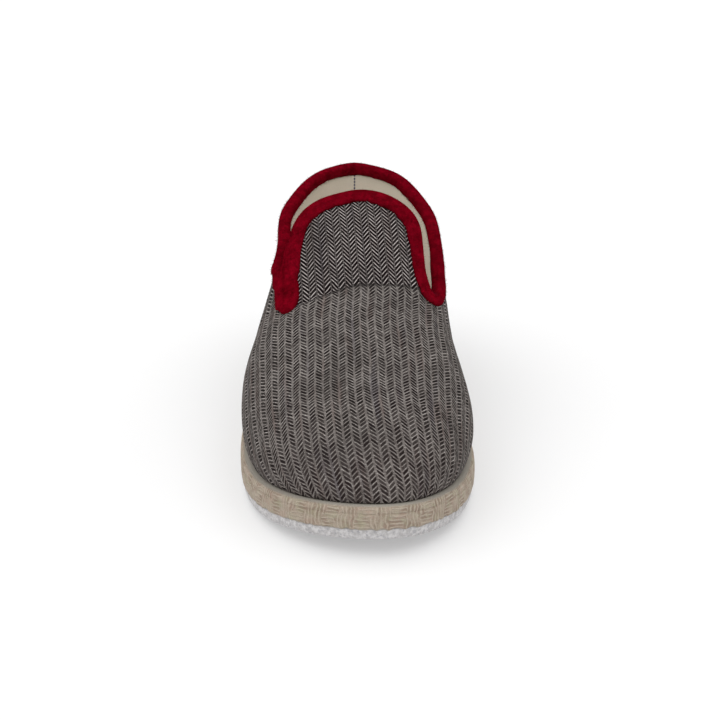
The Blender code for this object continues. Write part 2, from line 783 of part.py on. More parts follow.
def side_rows(table, reach, groove, start):
    """Height share and inset of each row of a sole layer's side."""
    heights, insets, grooves = (column(table, SIDE_COLUMNS, name) for name in SIDE_COLUMNS)
    return list(zip(heights, start + insets * reach + grooves * groove))


def midsole():
    rows = side_rows(MIDSOLE_SIDE, MIDSOLE_EDGE_ROUND, LEDGE_GROOVE, 0)
    return slab("midsole", rows, midsole_bottom, midsole_top, (0.46, 0.38, 0.29), 0.85)


def outsole():
    rows = side_rows(OUTSOLE_SIDE, OUTSOLE_EDGE_ROUND, 0, 0)

    def top(along):
        return ground_lift(along) + OUTSOLE_THICK

    return slab("outsole", rows, ground_lift, top, (0.80, 0.79, 0.77), 0.7)


def insole():
    rows = side_rows(INSOLE_SIDE, INSOLE_EDGE_SLOPE, 0, FEATHER_INSET + WALL + INSOLE_GAP)

    def top(along):
        return footbed(along) + INSOLE_THICK

    return slab("insole", rows, footbed, top, (0.62, 0.57, 0.46), 0.95)


def main():
    for piece in list(bpy.data.objects):
        bpy.data.objects.remove(piece, do_unlink=True)
    skin = outer_skin()
    outsole()
    midsole()
    insole()
    upper(skin)
    binding(skin)


main()
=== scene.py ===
"""Looks of the right-foot house slipper: tweed upper with lining, felt binding, wrapped midsole
band, speckled outsole, plain studio and the camera."""
import math
import random

import bpy
import numpy as np
from mathutils import Matrix, Vector, noise
from mathutils.geometry import delaunay_2d_cdt


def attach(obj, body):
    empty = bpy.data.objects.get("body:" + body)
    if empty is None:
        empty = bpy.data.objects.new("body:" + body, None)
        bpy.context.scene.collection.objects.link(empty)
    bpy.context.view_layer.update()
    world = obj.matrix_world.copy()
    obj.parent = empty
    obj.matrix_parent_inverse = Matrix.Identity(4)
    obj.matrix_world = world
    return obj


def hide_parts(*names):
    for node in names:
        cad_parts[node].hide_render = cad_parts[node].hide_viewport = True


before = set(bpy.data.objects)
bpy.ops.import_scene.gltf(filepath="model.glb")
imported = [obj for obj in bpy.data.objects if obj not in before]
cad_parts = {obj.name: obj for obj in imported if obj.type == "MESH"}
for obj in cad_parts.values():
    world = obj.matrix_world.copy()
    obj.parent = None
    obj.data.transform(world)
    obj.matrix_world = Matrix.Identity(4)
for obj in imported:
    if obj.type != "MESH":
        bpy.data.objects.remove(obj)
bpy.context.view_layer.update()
random.seed(7)

# Sizes of the part, in metres
SHOE_LENGTH = 0.285
BALL_WIDTH = 0.105
TOE_SPRING = 0.009
ARCH_LIFT = 0.0020
OUTSOLE_THICK = 0.0045
MIDSOLE_THICK = 0.0100
HEEL_WEDGE = 0.0020
OUTSOLE_EDGE_ROUND = 0.0016
MIDSOLE_EDGE_ROUND = 0.0030
FEATHER_INSET = 0.0040
INSOLE_THICK = 0.0040
INSOLE_EDGE_SLOPE = 0.0020
INSOLE_GAP = 0.0010
WALL = 0.0030
INSTEP_RISE = 0.0560
TONGUE_RISE = 0.0330
HEEL_RISE = 0.0780
SIDE_SWELL = 0.0038
SWELL_HEIGHT = 0.0170
TONGUE_HALF_WIDTH = 0.0330
SLOT_WIDTH = 0.0048
BINDING_WIDTH = 0.0078
BINDING_AT_SLOT = 0.0048
BINDING_THICK = 0.0011
CLEARANCE = 0.0003
SPRING_POWER = 1.7
HOLD_RATE = 2.5
SPRING_START = 0.27
FOREFOOT_FLAT_END = 0.42
HEEL_FLAT_START = 0.70
NOTCH_LATERAL = 0.451
NOTCH_MEDIAL = 0.484
TONGUE_TIP = 0.650

# Sizes of the looks, in metres
CLOTH_THICK = 0.0014
BLOCK = 0.0075
STITCH = 0.0016
RIB = 0.00175

# Weave: its columns' width, its rows' length, and how many rows a yarn climbs across a column
WEAVE_COLUMN = 0.00341
WEAVE_COLUMN_TOE = 0.00350
WEAVE_ROW = 0.00234
WEAVE_RISE = 1.52
WEAVE_RISE_TONGUE = 1.80
TONGUE_LEAN = 0.133
LEAN_FROM = 0.163
TOE_CURL_RUN = 0.045
TOE_CURL = 1570.0

# Runs from the toe, then girths from the ridge, between which the weave changes, in metres
START_RUNS = (0.055, 0.105)
COLUMN_RUNS = (0.030, 0.095)
SOFT_RUNS = (0.030, 0.080)
# Runs over which the painted shade at the toe fades out, then over which its brown tinge turns grey
TOE_SHADE_RUNS = (0.020, 0.085)
TOE_SHADE_BROWN_RUNS = (0.015, 0.085)
STEEP_RUNS = (0.150, 0.175)
QUARTER_RUNS = (0.14, 0.20)
TONGUE_GIRTHS = (0.032, 0.040)
LEAN_GIRTHS = (0.0335, 0.0365)
LEAN_EASE = 0.004
FOLD_EDGE = (-0.0005, 0.0012)

# Girth at which a column starts, and softness of the slits, at the toe and further back
COLUMN_START = (0.0016, 0.0008)
SOFTNESS = (0.24, 0.13)

# Weave where the cloth is rubbed, then where it is crisp: its unevenness in rows, the slits' length,
# the shares of a column where they begin and end to fade, and how dark slits, dots and yarns are
JITTER = (0.42, 0.10)
SLIT_LENGTH = (0.27, 0.235)
SLIT_FADE = (0.60, 0.88)
SLIT_END = (1.00, 1.04)
SLIT_DARK = (0.86, 0.98)
DOT_DARK = (0.55, 0.95)
YARN_SHADE = (0.50, 0.55)
RUBBED = (0.07, 0.00)

# Band: heights between which its foot, its middle and its ledge blend, and how far its ribs wander
BAND_FOOT = (0.0002, 0.0010)
BAND_MIDDLE = (0.0062, 0.0070)
BAND_LEDGE_AT = (0.0128, 0.0112)
RIB_SWAY = 0.0034
RIB_ROCK = 0.0024
RIB_TREMBLE = 0.0016

# Lining's back seam: half widths of stitch and groove, and share of a stitch's pitch that it fills
STITCH_WIDTH = (0.00032, 0.00018)
STITCH_FILL = (0.36, 0.30)
GROOVE_WIDTH = (0.0002, 0.0018)

# Heights of the cloths' finest relief
TWEED_RELIEF = 0.00035
LINING_RELIEF = 0.0004
FELT_RELIEF = 0.0008
BAND_RELIEF = 0.0007
RUBBER_RELIEF = 0.0003

# Over the toe the rows turn about a low hinge: its place, and where they begin and end to turn
HINGE_ALONG = 0.17
HINGE_DROP = 0.020
TURN_FROM = 0.34
TURN_TO = 0.13
ARC_POWER = 1.45

# Mesh fineness
SKIN_SPACING = 0.0076
TOE_SPACING = 0.0050
TOE_SHARE = 0.20
FAN_END = 0.45
EDGE_SPACING = 0.0055
SLOT_END_STEPS = 6
FILL_CLEAR = 0.62
FILL_SAMPLES = 181
LAST_SAMPLES = 120
OUTLINE_SAMPLES = 2400
TURN_IN_STEPS = 4
PROBE = 0.0002
PATTERN_SAMPLES = 241
FEATHER_SAMPLES = 601
RIDGE_SAMPLES = 700
QUARTER_SAMPLES = 90
REFINE_ROUNDS = 2
WELD = 2e-6
SNAP = 1e-7
TINY = 1e-9
FELT_SPACING = 0.0014
FELT_AROUND = 26
SOLE_STATIONS = 300
BAND_RINGS = 34
OUTSOLE_RINGS = 12
INSOLE_RINGS = 8
SHARP_ANGLE = 0.7
TURN = 2 * math.pi

OUTLINE_COLUMNS = ("along", "across")
OUTLINE = (
    (0.000, 0.100), (0.014, 0.205), (0.050, 0.310), (0.110, 0.405),
    (0.190, 0.470), (0.280, 0.500), (0.390, 0.480), (0.510, 0.447),
    (0.640, 0.425), (0.780, 0.407), (0.890, 0.348), (0.965, 0.235),
    (1.000, 0.035), (0.965, -0.170), (0.890, -0.280), (0.780, -0.341),
    (0.640, -0.356), (0.510, -0.436), (0.400, -0.497), (0.300, -0.500),
    (0.200, -0.468), (0.115, -0.387), (0.050, -0.255), (0.014, -0.110),
)

SECTION_COLUMNS = ("along", "instep", "cone", "fullness", "ridge", "swell", "hold")
SECTIONS = (
    (0.000, 0.00, 0.00, 2.00, 0.00, 0.30, 0.0),
    (0.020, 0.20, 0.00, 2.15, 0.00, 0.60, 0.0),
    (0.070, 0.41, 0.00, 2.35, 0.00, 0.90, 0.1),
    (0.150, 0.60, 0.00, 2.60, 0.00, 1.00, 0.2),
    (0.260, 0.76, 0.00, 2.95, 0.02, 1.00, 0.3),
    (0.370, 0.89, 0.00, 3.35, 0.04, 1.00, 0.5),
    (0.455, 0.98, 0.00, 3.70, 0.06, 1.00, 0.7),
    (0.480, 1.00, 0.08, 3.80, 0.06, 1.00, 0.8),
    (0.530, 1.00, 0.36, 3.95, 0.06, 1.00, 0.9),
    (0.600, 1.00, 0.76, 4.20, 0.06, 1.00, 1.0),
    (0.650, 1.00, 0.98, 4.60, 0.06, 1.00, 1.0),
    (0.760, 1.00, 1.30, 5.20, 0.05, 1.00, 1.0),
    (0.900, 1.00, 1.60, 5.50, 0.00, 1.00, 0.6),
    (1.000, 1.00, 1.60, 5.00, 0.00, 1.00, 0.3),
)

TOP_LINE_COLUMNS = ("along", "lateral", "medial")
TOP_LINE = (
    (0.530, 0.285, 0.085), (0.563, 0.357, 0.246), (0.606, 0.412, 0.346),
    (0.650, 0.487, 0.446), (0.708, 0.545, 0.535), (0.780, 0.620, 0.607),
    (0.838, 0.678, 0.667), (0.899, 0.792, 0.785), (0.945, 0.906, 0.902),
    (1.000, 1.000, 1.000),
)

TONGUE_COLUMNS = ("run", "across")
TONGUE_LATERAL = (
    (0.000, 0.970), (0.245, 1.010), (0.450, 1.050), (0.600, 1.055), (0.700, 1.035),
    (0.785, 0.955), (0.845, 0.835), (0.900, 0.655), (0.957, 0.370), (1.000, 0.090),
)
TONGUE_MEDIAL = (
    (0.000, 1.000), (0.120, 0.930), (0.275, 0.890), (0.450, 0.858), (0.626, 0.805),
    (0.755, 0.676), (0.855, 0.490), (0.925, 0.330), (0.973, 0.180),
)

# Side of a sole layer from the bottom up: shares of its height and of its edge round
MIDSOLE_SIDE = (
    (0.00, 0.25), (0.02, 0.10), (0.06, 0.02), (0.12, 0.00), (0.30, -0.02),
    (0.50, -0.01), (0.62, 0.02), (0.66, 0.16), (0.70, 0.06), (0.78, 0.08),
    (0.86, 0.18), (0.92, 0.36), (0.97, 0.64), (1.00, 1.00),
)
OUTSOLE_SIDE = (
    (0.00, 1.00), (0.12, 0.78), (0.30, 0.55), (0.60, 0.47), (0.90, 0.46), (1.00, 0.60),
)
INSOLE_SIDE = (
    (0.00, 0.00), (0.50, 0.35), (0.85, 0.70), (1.00, 1.00),
)

# Section of the felt: its share of the reach back onto the cloth, felt thicknesses over the
# cloth's end and above its face, and the share of the cloth's wall that it sinks
FELT = (
    (1.000, 0.00, 0.10, 0.00), (1.010, 0.00, 0.55, 0.00), (0.900, 0.00, 0.98, 0.00),
    (0.660, 0.00, 1.22, 0.00), (0.360, 0.00, 1.32, 0.00), (0.100, 0.00, 1.20, 0.00),
    (0.000, 0.60, 0.85, 0.00), (0.000, 1.10, 0.20, 0.20), (0.000, 1.25, 0.00, 0.50),
    (0.000, 1.10, -0.20, 0.80), (0.000, 0.60, -0.85, 1.00), (0.100, 0.00, -1.15, 1.00),
    (0.300, 0.00, -1.20, 1.00), (0.500, 0.00, -1.00, 1.00), (0.570, 0.00, -0.50, 1.00),
    (0.550, 0.00, -0.10, 1.00), (0.300, 0.00, -0.05, 1.00), (0.000, 0.10, -0.05, 0.95),
    (0.000, 0.10, 0.05, 0.05), (0.300, 0.00, 0.05, 0.00),
)

# Felt beside the lateral slot: how much narrower it is on the quarter and on the tongue, how much
# it swells shut and thins, and how far up the slot, in metres, that lasts and fades
NARROWING = (0.38, 0.26)
NARROW_RUN = 0.012
NARROW_EASE = 0.010
SWELLING = 0.70
THINNING = 0.70
CLOSING_RUN = 0.045
CLOSING_EASE = 0.020

# Where the strip's end laps over its start
LAP_RUN = 0.1915
LAP_LENGTH = 0.0030
LAP_EASE = 0.3
LAP_THICK = 0.50

# Below each slot the felt is drawn out and narrowed: side, shares of length and of width
ROUNDED_ENDS = ((-1, 0.10, 0.84), (1, 0.12, 0.94))
ROUNDED_EASE = 0.003

# Rows from the felt's edge onto the cloth, and how unevenly it ends: share, length and seed
FELT_REACH = 1.05
FELT_ROWS = 6
WANDER = (0.05, 0.012, 3.1)
TEARS = ((0.08, 0.0032, 5.5), (0.064, 0.0013, 2.5))
PUFFS = (0.10, 0.016, 8.7)
CALM = 0.7

# Loose fibres: places round the felt's section, sizes in metres, shares of length out and sideways
HAIRS = 9000
HAIR_PLACES = (0, 1, 2, 3, 6, 7, 8, 12, 13, 14)
HAIR_LENGTH = (0.0005, 0.0012)
HAIR_THICK = (0.00003, 0.00006)
HAIR_ROOT = 0.0001
HAIR_LEAN = ((0.5, 1.0), (-0.9, 0.9), (-0.8, 0.8))
HAIR_BEND = 0.3
HAIR_TAPER = ((0.0, 1.0), (0.5, 0.8))
LONG_HAIR = 2.2
LONG_HAIRS = 0.04

# Crease across the root of the tongue, in metres of run and girth from the ridge
CREASE = (
    (0.1535, -0.0310), (0.1583, -0.0230), (0.1623, -0.0160), (0.1647, -0.0090),
    (0.1664, 0.0010), (0.1664, 0.0130), (0.1660, 0.0210), (0.1655, 0.0300),
)
CREASE_DEPTH = 0.0012
CREASE_WIDTH = 0.0024
CREASE_FADE = 0.006
CREASE_LINE = (0.0001, 0.0017)

# Which of the crease's points is its top
CREASE_TOP = 4

# Swelling beside the crease, in crease depths and widths
BULGE_HEIGHT = 0.35
BULGE_PLACE = -2.2
BULGE_WIDTH = 1.3

# Unevenness of the cloth: height, size, seed, and the girth from the sole up over which it begins
UNEVEN = ((0.00022, 0.022, 0.0, 0.012), (0.00010, 0.009, 5.0, 0.010))
SEAM_DEPTH = 0.00035
SEAM_WIDTH = 0.0011

# Waves in the heel's top edge in metres: height, middle and width; and where they begin
HEEL_WAVES = ((0.0016, 0.0034, 0.0085), (-0.0015, -0.0235, 0.0090))
HEEL_WAVES_LOW = 0.080
HEEL_WAVES_RISE = 0.022
HEEL_WAVES_FRONT = 0.08
HEEL_WAVES_EASE = 0.03

# The band's lower edge is ragged: depth and size in metres, and share of its height
RAGGED_DEPTH = 0.0009
RAGGED_SIZE = 0.0024
RAGGED_SHARE = 0.2

# Round lump of felt that shuts the lateral slot's lower end, in metres: its run, the girth of its
# middle, half its width and its height
LUMP = (
    (0.1488, -0.0331, 0.0000, 0.0003), (0.1496, -0.0331, 0.0020, 0.0012),
    (0.1520, -0.0331, 0.0036, 0.0020), (0.1560, -0.0332, 0.0049, 0.0023),
    (0.1620, -0.0338, 0.0058, 0.0024), (0.1690, -0.0346, 0.0059, 0.0023),
    (0.1750, -0.0353, 0.0048, 0.0021), (0.1800, -0.0360, 0.0038, 0.0019),
    (0.1850, -0.0363, 0.0028, 0.0013), (0.1910, -0.0370, 0.0022, 0.0008),
    (0.1980, -0.0380, 0.0014, 0.0003),
)
LUMP_AROUND = 36
LUMP_LEAST = 0.00002
LUMP_SINK = 0.0006
LUMP_POWER = 0.75

# Folds in the lump: place and width as shares of half its width, and depth
LUMP_FOLDS = ((-0.12, 0.15, 1.0), (0.45, 0.12, 0.6))
FOLD_DEPTH = 0.40
FOLD_RUN = 0.153
FOLD_EASE = 0.012
# UV mark of the lump's folds, which carries painted shade into the felt's colour
FOLD_SHADE_MARK = 2
# UV mark of the loose hairs, which the felt paints paler as a sheen
HAIR_MARK = -1

# Studio, in metres
FLOOR_REACH = 12.0
FLOOR_GLOW = 0.25
SKY_STRENGTH = 0.80
SUN_HEADING = (0.16, 0.08, -1.0)
SUN_ANGLE = 100
SUN_POWER = 1.3
EYE = (-0.01694, -0.7612, 0.31166)
EYE_PITCH = 20.0
EYE_YAW = 1.5


def column(rows, columns, name):
    """One named column of a table, as an array."""
    return np.array([row[columns.index(name)] for row in rows])


def spline_slopes(knots, values):
    """Slopes of the C2 curve through the values, held straight at both ends."""
    step = np.diff(knots)
    count = len(knots)
    matrix = np.zeros((count, count))
    right = np.zeros(count)
    for i in range(1, count - 1):
        matrix[i, i - 1:i + 2] = 1 / step[i - 1], 2 / step[i - 1] + 2 / step[i], 1 / step[i]
        right[i] = 3 * ((values[i] - values[i - 1]) / step[i - 1] ** 2
                        + (values[i + 1] - values[i]) / step[i] ** 2)
    matrix[0, :2] = 2, 1
    right[0] = 3 * (values[1] - values[0]) / step[0]
    matrix[-1, -2:] = 1, 2
    right[-1] = 3 * (values[-1] - values[-2]) / step[-1]
    return np.linalg.solve(matrix, right)


def curve(knots, values, slopes, at):
    """Cubic through the knots at any place; outside them it keeps the end value."""
    at = np.clip(at, knots[0], knots[-1])
    i = np.clip(np.searchsorted(knots, at) - 1, 0, len(knots) - 2)
    step = knots[i + 1] - knots[i]
    t = (at - knots[i]) / step
    return (values[i] * (1 + 2 * t) * (1 - t) ** 2 + slopes[i] * step * t * (1 - t) ** 2
            + values[i + 1] * t * t * (3 - 2 * t) - slopes[i + 1] * step * t * t * (1 - t))


def gentle_slopes(knots, values):
    """Slopes that never overshoot between rows of a table."""
    rise = np.diff(values) / np.diff(knots)
    slopes = np.zeros(len(knots))
    same = rise[:-1] * rise[1:] > 0
    slopes[1:-1][same] = 2 * rise[:-1][same] * rise[1:][same] / (rise[:-1][same] + rise[1:][same])
    slopes[0] = rise[0]
    slopes[-1] = rise[-1]
    return slopes


def smooth(share):
    """Ease from 0 to 1."""
    t = np.clip(share, 0, 1)
    return t * t * (3 - 2 * t)


def run_along(points):
    """Distance covered along a path at each of its points."""
    return np.concatenate([[0], np.cumsum(np.linalg.norm(np.diff(points, axis=0), axis=1))])


def read_rows(at, knots, rows):
    """Rows of numbers read between their knots."""
    return np.stack([np.interp(at, knots, axis) for axis in rows.T], -1)


def smooth_rows(at, knots, rows):
    """Rows of numbers read on the smooth curve through all of them."""
    return np.stack([curve(knots, axis, spline_slopes(knots, axis), at) for axis in rows.T], 1)


def smooth_path(points, dense=40):
    """Dense points on the smooth curve through a few chosen points."""
    points = np.array(points, float)
    run = run_along(points)
    return smooth_rows(np.linspace(0, run[-1], dense * len(points)), run, points)


def sole_outline():
    """Closed outline of the sole as many points, toe tip first, medial side first."""
    along = column(OUTLINE, OUTLINE_COLUMNS, "along") * SHOE_LENGTH
    across = column(OUTLINE, OUTLINE_COLUMNS, "across") * BALL_WIDTH
    points = np.stack([across, along], 1)
    wrapped = np.concatenate([points[-4:], points, points[:5]])
    run = run_along(wrapped)
    fine = np.linspace(run[4], run[4 + len(points)], OUTLINE_SAMPLES, endpoint=False)
    loop = smooth_rows(fine, run, wrapped)
    low, high = loop.min(axis=0), loop.max(axis=0)
    loop = (loop - low) / (high - low) * (BALL_WIDTH, SHOE_LENGTH)
    return loop - (BALL_WIDTH / 2, 0)


def plan_normals(loop):
    """Outward normals of a closed outline that runs with the shoe on its left."""
    tangent = np.roll(loop, -1, axis=0) - np.roll(loop, 1, axis=0)
    normal = np.stack([tangent[:, 1], -tangent[:, 0]], 1)
    return normal / np.linalg.norm(normal, axis=1)[:, None]


class Rim:
    """The sole's outline moved inwards, read by roll: 0 at the toe tip and 1 at the heel."""

    def __init__(self, inset):
        loop = sole_outline()
        normal = plan_normals(loop)
        loop = loop - inset * normal
        self.toe = loop[:, 1].min()
        self.heel = loop[:, 1].max()
        first = int(loop[:, 1].argmin())
        loop = np.roll(loop, -first, axis=0)
        normal = np.roll(normal, -first, axis=0)
        turn = int(loop[:, 1].argmax())
        medial = np.arange(0, turn + 1)
        lateral = np.concatenate([[0], np.arange(len(loop) - 1, turn - 1, -1)])
        self.sides = {1: (loop[medial], normal[medial]), -1: (loop[lateral], normal[lateral])}

    def station(self, roll):
        """Distance from the toe of a roll share."""
        return self.toe + (self.heel - self.toe) * (1 - np.cos(np.pi * np.asarray(roll))) / 2

    def roll(self, along):
        """Roll share of a share of the rim's own length."""
        return np.arccos(1 - 2 * np.asarray(along)) / np.pi

    def across(self, roll, side):
        """Place across of the rim on one side."""
        points, _ = self.sides[side]
        return np.interp(self.station(roll), points[:, 1], points[:, 0])

    def outward(self, roll, side):
        """Plan normal of the rim on one side."""
        points, normals = self.sides[side]
        return read_rows(self.station(roll), points[:, 1], normals)


def ground_lift(along):
    """Height of the outsole's underside: spring at the toe, arch at the waist, flat between."""
    share = np.asarray(along) / SHOE_LENGTH
    spring = TOE_SPRING * np.clip((SPRING_START - share) / SPRING_START, 0, None) ** SPRING_POWER
    waist = np.clip((share - FOREFOOT_FLAT_END) / (HEEL_FLAT_START - FOREFOOT_FLAT_END), 0, 1)
    return spring + ARCH_LIFT * np.sin(np.pi * waist) ** 2


def wedge(along):
    """How much thicker the midsole is towards the heel."""
    share = np.asarray(along) / SHOE_LENGTH
    return HEEL_WEDGE * smooth((share - SPRING_START) / (HEEL_FLAT_START - SPRING_START))


def midsole_bottom(along):
    return outsole_top(along) + CLEARANCE


def midsole_top(along):
    return midsole_bottom(along) + MIDSOLE_THICK + wedge(along)


def footbed(along):
    """Level on which upper and insole sit."""
    return midsole_top(along) + CLEARANCE


def outsole_top(along):
    return ground_lift(along) + OUTSOLE_THICK


def insole_top(along):
    return footbed(along) + INSOLE_THICK


def to_frame(across, along, height):
    """Shoe measures to the part's frame."""
    return np.stack(np.broadcast_arrays(across, np.asarray(along) - SHOE_LENGTH / 2, height), -1)


class Last:
    """The upper's outer surface over a last, read by roll along and girth distance from the ridge."""

    def __init__(self):
        self.rim = Rim(FEATHER_INSET)
        self.knots = self.rim.roll(column(SECTIONS, SECTION_COLUMNS, "along"))
        self.values = {name: column(SECTIONS, SECTION_COLUMNS, name) for name in SECTION_COLUMNS}
        self.slopes = {name: gentle_slopes(self.knots, v) for name, v in self.values.items()}

    def read(self, name, roll):
        return curve(self.knots, self.values[name], self.slopes[name], roll)

    def half_section(self, roll, side):
        """Points from the ridge down to the feather line on one side, at many rolls."""
        roll = np.atleast_1d(roll)[:, None]
        turn = np.linspace(np.pi / 2, 0, LAST_SAMPLES)[None, :]
        power = 2 / self.read("fullness", roll)
        rise = self.read("instep", roll) * INSTEP_RISE + self.read("cone", roll) * TONGUE_RISE
        along = self.rim.station(roll)
        edge = self.rim.across(roll, side)
        far = self.rim.across(roll, -side)
        centre = (edge + far) / 2 + self.read("ridge", roll) * abs(edge - far) / 2
        across = centre + (edge - centre) * np.cos(turn).clip(0) ** power
        lift = rise * np.sin(turn) ** power
        reach = lift / SWELL_HEIGHT
        hold = self.read("hold", roll)
        swell = (1 - hold) * reach * np.exp(1 - reach) + hold * (1 - np.exp(-HOLD_RATE * reach))
        swell = swell * SIDE_SWELL * self.read("swell", roll) * np.cos(turn).clip(0) ** 0.5
        outward = self.rim.outward(roll, side) * swell[..., None]
        return to_frame(across + outward[..., 0], along + outward[..., 1], footbed(along) + lift)

    def girth(self, roll, side):
        """Length from the ridge to the feather line."""
        points = self.half_section(roll, side)
        return np.linalg.norm(np.diff(points, axis=1), axis=2).sum(axis=1)

    def point(self, roll, girth):
        """Surface point at signed girth distance from the ridge, medial side positive."""
        roll, girth = np.broadcast_arrays(np.atleast_1d(roll), np.atleast_1d(girth))
        found = np.zeros((len(roll), 3))
        for side in (-1, 1):
            mine = np.where((girth >= 0) == (side > 0))[0]
            if len(mine) == 0:
                continue
            points = self.half_section(roll[mine], side)
            steps = np.linalg.norm(np.diff(points, axis=1), axis=2)
            run = np.concatenate([np.zeros((len(mine), 1)), np.cumsum(steps, axis=1)], axis=1)
            at = np.minimum(abs(girth[mine]), run[:, -1])
            low = np.clip((run <= at[:, None]).sum(axis=1) - 1, 0, run.shape[1] - 2)
            rows = np.arange(len(mine))
            span = np.maximum(run[rows, low + 1] - run[rows, low], TINY)
            part = ((at - run[rows, low]) / span)[:, None]
            found[mine] = points[rows, low] * (1 - part) + points[rows, low + 1] * part
        return found

    def girth_at_height(self, roll, side, lift):
        """Girth distance at which the side stands a given height above the footbed."""
        points = self.half_section(roll, side)[0]
        height = points[:, 2] - footbed(self.rim.station(roll))
        return float(np.interp(-lift, -height, run_along(points)))


class Pattern:
    """The upper laid flat: x is the mean run along ridge and feather line, y the girth distance."""

    def __init__(self, last):
        self.last = last
        self.rolls = np.linspace(0, 1, PATTERN_SAMPLES)
        sides = {side: last.half_section(self.rolls, side) for side in (-1, 1)}
        ridge = sides[1][:, 0]
        feather = (sides[1][:, -1] + sides[-1][:, -1]) / 2
        spread = (sides[1][:, -1] - sides[-1][:, -1]) / 2
        steps = sum(np.linalg.norm(np.diff(line, axis=0), axis=1) for line in (ridge, feather, spread))
        self.run = np.concatenate([[0], np.cumsum(steps)]) / 2
        self.end = self.run[-1]
        self.widths = {side: last.girth(self.rolls, side) for side in (-1, 1)}

    def roll(self, run):
        return np.interp(run, self.run, self.rolls)

    def run_at(self, along):
        """Run of a share of the upper's length."""
        return np.interp(self.last.rim.roll(along), self.rolls, self.run)

    def width(self, run, side):
        """Girth distance from the ridge to the feather line on one side."""
        return np.interp(run, self.run, self.widths[side])

    def half(self, run, girth):
        """Width of the side on which a girth distance lies."""
        return np.where(girth > 0, self.width(run, 1), self.width(run, -1))

    def sheet(self, flat):
        """Flat points on a working sheet that fans out round the toe, for even triangles there."""
        run, girth = np.asarray(flat).T
        width = np.maximum(self.half(run, girth), CLEARANCE)
        fan = np.pi / 2 * (1 - smooth(run / self.run_at(FAN_END)))
        turn = fan * girth / width
        return np.stack([run * np.cos(turn), girth * np.sinc(turn / np.pi)], 1)

    def solid(self, flat):
        """Flat points to surface points."""
        flat = np.asarray(flat)
        return self.last.point(self.roll(flat[:, 0]), flat[:, 1])

    def outward(self, flat):
        """Unit normals of the surface at flat points."""
        flat = np.asarray(flat)
        run = np.clip(flat[:, 0], PROBE, self.end - PROBE)
        flat = np.stack([run, flat[:, 1]], 1)
        along = self.solid(flat + (PROBE, 0)) - self.solid(flat - (PROBE, 0))
        across = self.solid(flat + (0, PROBE)) - self.solid(flat - (0, PROBE))
        normal = np.cross(across, along)
        return normal / np.linalg.norm(normal, axis=1)[:, None]


def tongue_side(pattern, side):
    """Flat points up one side of the tongue, from the notch to the tip."""
    notch, rows = (NOTCH_MEDIAL, TONGUE_MEDIAL) if side > 0 else (NOTCH_LATERAL, TONGUE_LATERAL)
    start = pattern.run_at(notch)
    tip = pattern.run_at(TONGUE_TIP)
    run = start + (tip - start) * column(rows, TONGUE_COLUMNS, "run")
    across = side * TONGUE_HALF_WIDTH * column(rows, TONGUE_COLUMNS, "across")
    return list(zip(run, across))


def slot_end(foot, side, steps):
    """Half circle round the bottom of a slot, from the quarter's edge to the tongue's foot."""
    turns = np.linspace(0, np.pi, steps + 1)[:-1]
    radius = SLOT_WIDTH / 2
    run = foot[0] - radius * np.sin(turns)
    return np.stack([run, foot[1] + side * radius * (1 + np.cos(turns))], 1)


def slot_middle(pattern, side):
    """Run and girth of a slot's middle, level with the tongue's foot."""
    foot = tongue_side(pattern, side)[0]
    return foot[0], foot[1] + side * SLOT_WIDTH / 2


def slot_rise(pattern, side):
    """Height above the footbed at which the quarter's edge leaves its slot."""
    foot = tongue_side(pattern, side)[0]
    place = pattern.solid(slot_end(foot, side, SLOT_END_STEPS)[:1])[0]
    return place[2] - footbed(place[1] + SHOE_LENGTH / 2)


def top_girth(pattern, side, run):
    """Girth distance of the quarter's top line, level across the heel seam."""
    last = pattern.last
    knots = pattern.run_at(column(TOP_LINE, TOP_LINE_COLUMNS, "along"))
    shares = column(TOP_LINE, TOP_LINE_COLUMNS, "medial" if side > 0 else "lateral")
    low = slot_rise(pattern, side)
    lifts = low + shares * (HEEL_RISE - low)
    knots = np.concatenate([knots, 2 * pattern.end - knots[-2::-1]])
    lifts = np.concatenate([lifts, lifts[-2::-1]])
    heights = curve(knots, lifts, spline_slopes(knots, lifts), run)
    return side * np.array([last.girth_at_height(r, side, h) for r, h in zip(pattern.roll(run), heights)])


def spaced(track, spacing):
    """A dense path cut into even steps of about the given spacing."""
    run = run_along(track)
    return read_rows(np.linspace(0, run[-1], int(round(run[-1] / spacing)) + 1), run, track)


def opening_edge(pattern, spacing, end_steps):
    """Edge of the collar, slots and tongue, from the lateral heel seam round to the medial one."""
    starts = pattern.run_at(column(TOP_LINE, TOP_LINE_COLUMNS, "along"))[:3]
    quarters = {}
    ends = {}
    tongues = {}
    for side in (-1, 1):
        tongues[side] = tongue_side(pattern, side)
        ends[side] = slot_end(tongues[side][0], side, end_steps)
        joint = list(zip(starts, top_girth(pattern, side, starts)))
        low = smooth_path([tuple(ends[side][0])] + joint)
        low = low[low[:, 0] < starts[1]]
        high = np.linspace(starts[1], pattern.end, QUARTER_SAMPLES)
        high = np.stack([high, top_girth(pattern, side, high)], 1)
        ease = smooth((low[:, 0] - starts[0]) / (starts[1] - starts[0]))
        level = top_girth(pattern, side, np.maximum(low[:, 0], starts[0]))
        low[:, 1] += ease * (level - low[:, 1])
        quarters[side] = spaced(np.concatenate([low, high]), spacing)[1:]
    tip = spaced(smooth_path(tongues[-1] + tongues[1][::-1]), spacing)[:-1]
    return np.concatenate([quarters[-1][::-1], ends[-1], tip, ends[1][::-1], quarters[1]])


def binding_depth(pattern, edge):
    """How far the binding reaches onto the cloth: less beside the slots than round the collar."""
    start = pattern.run_at(max(NOTCH_LATERAL, NOTCH_MEDIAL))
    tip = pattern.run_at(TONGUE_TIP)
    ease = smooth((edge[:, 0] - start) / (tip - start))
    return BINDING_AT_SLOT + (BINDING_WIDTH - BINDING_AT_SLOT) * ease


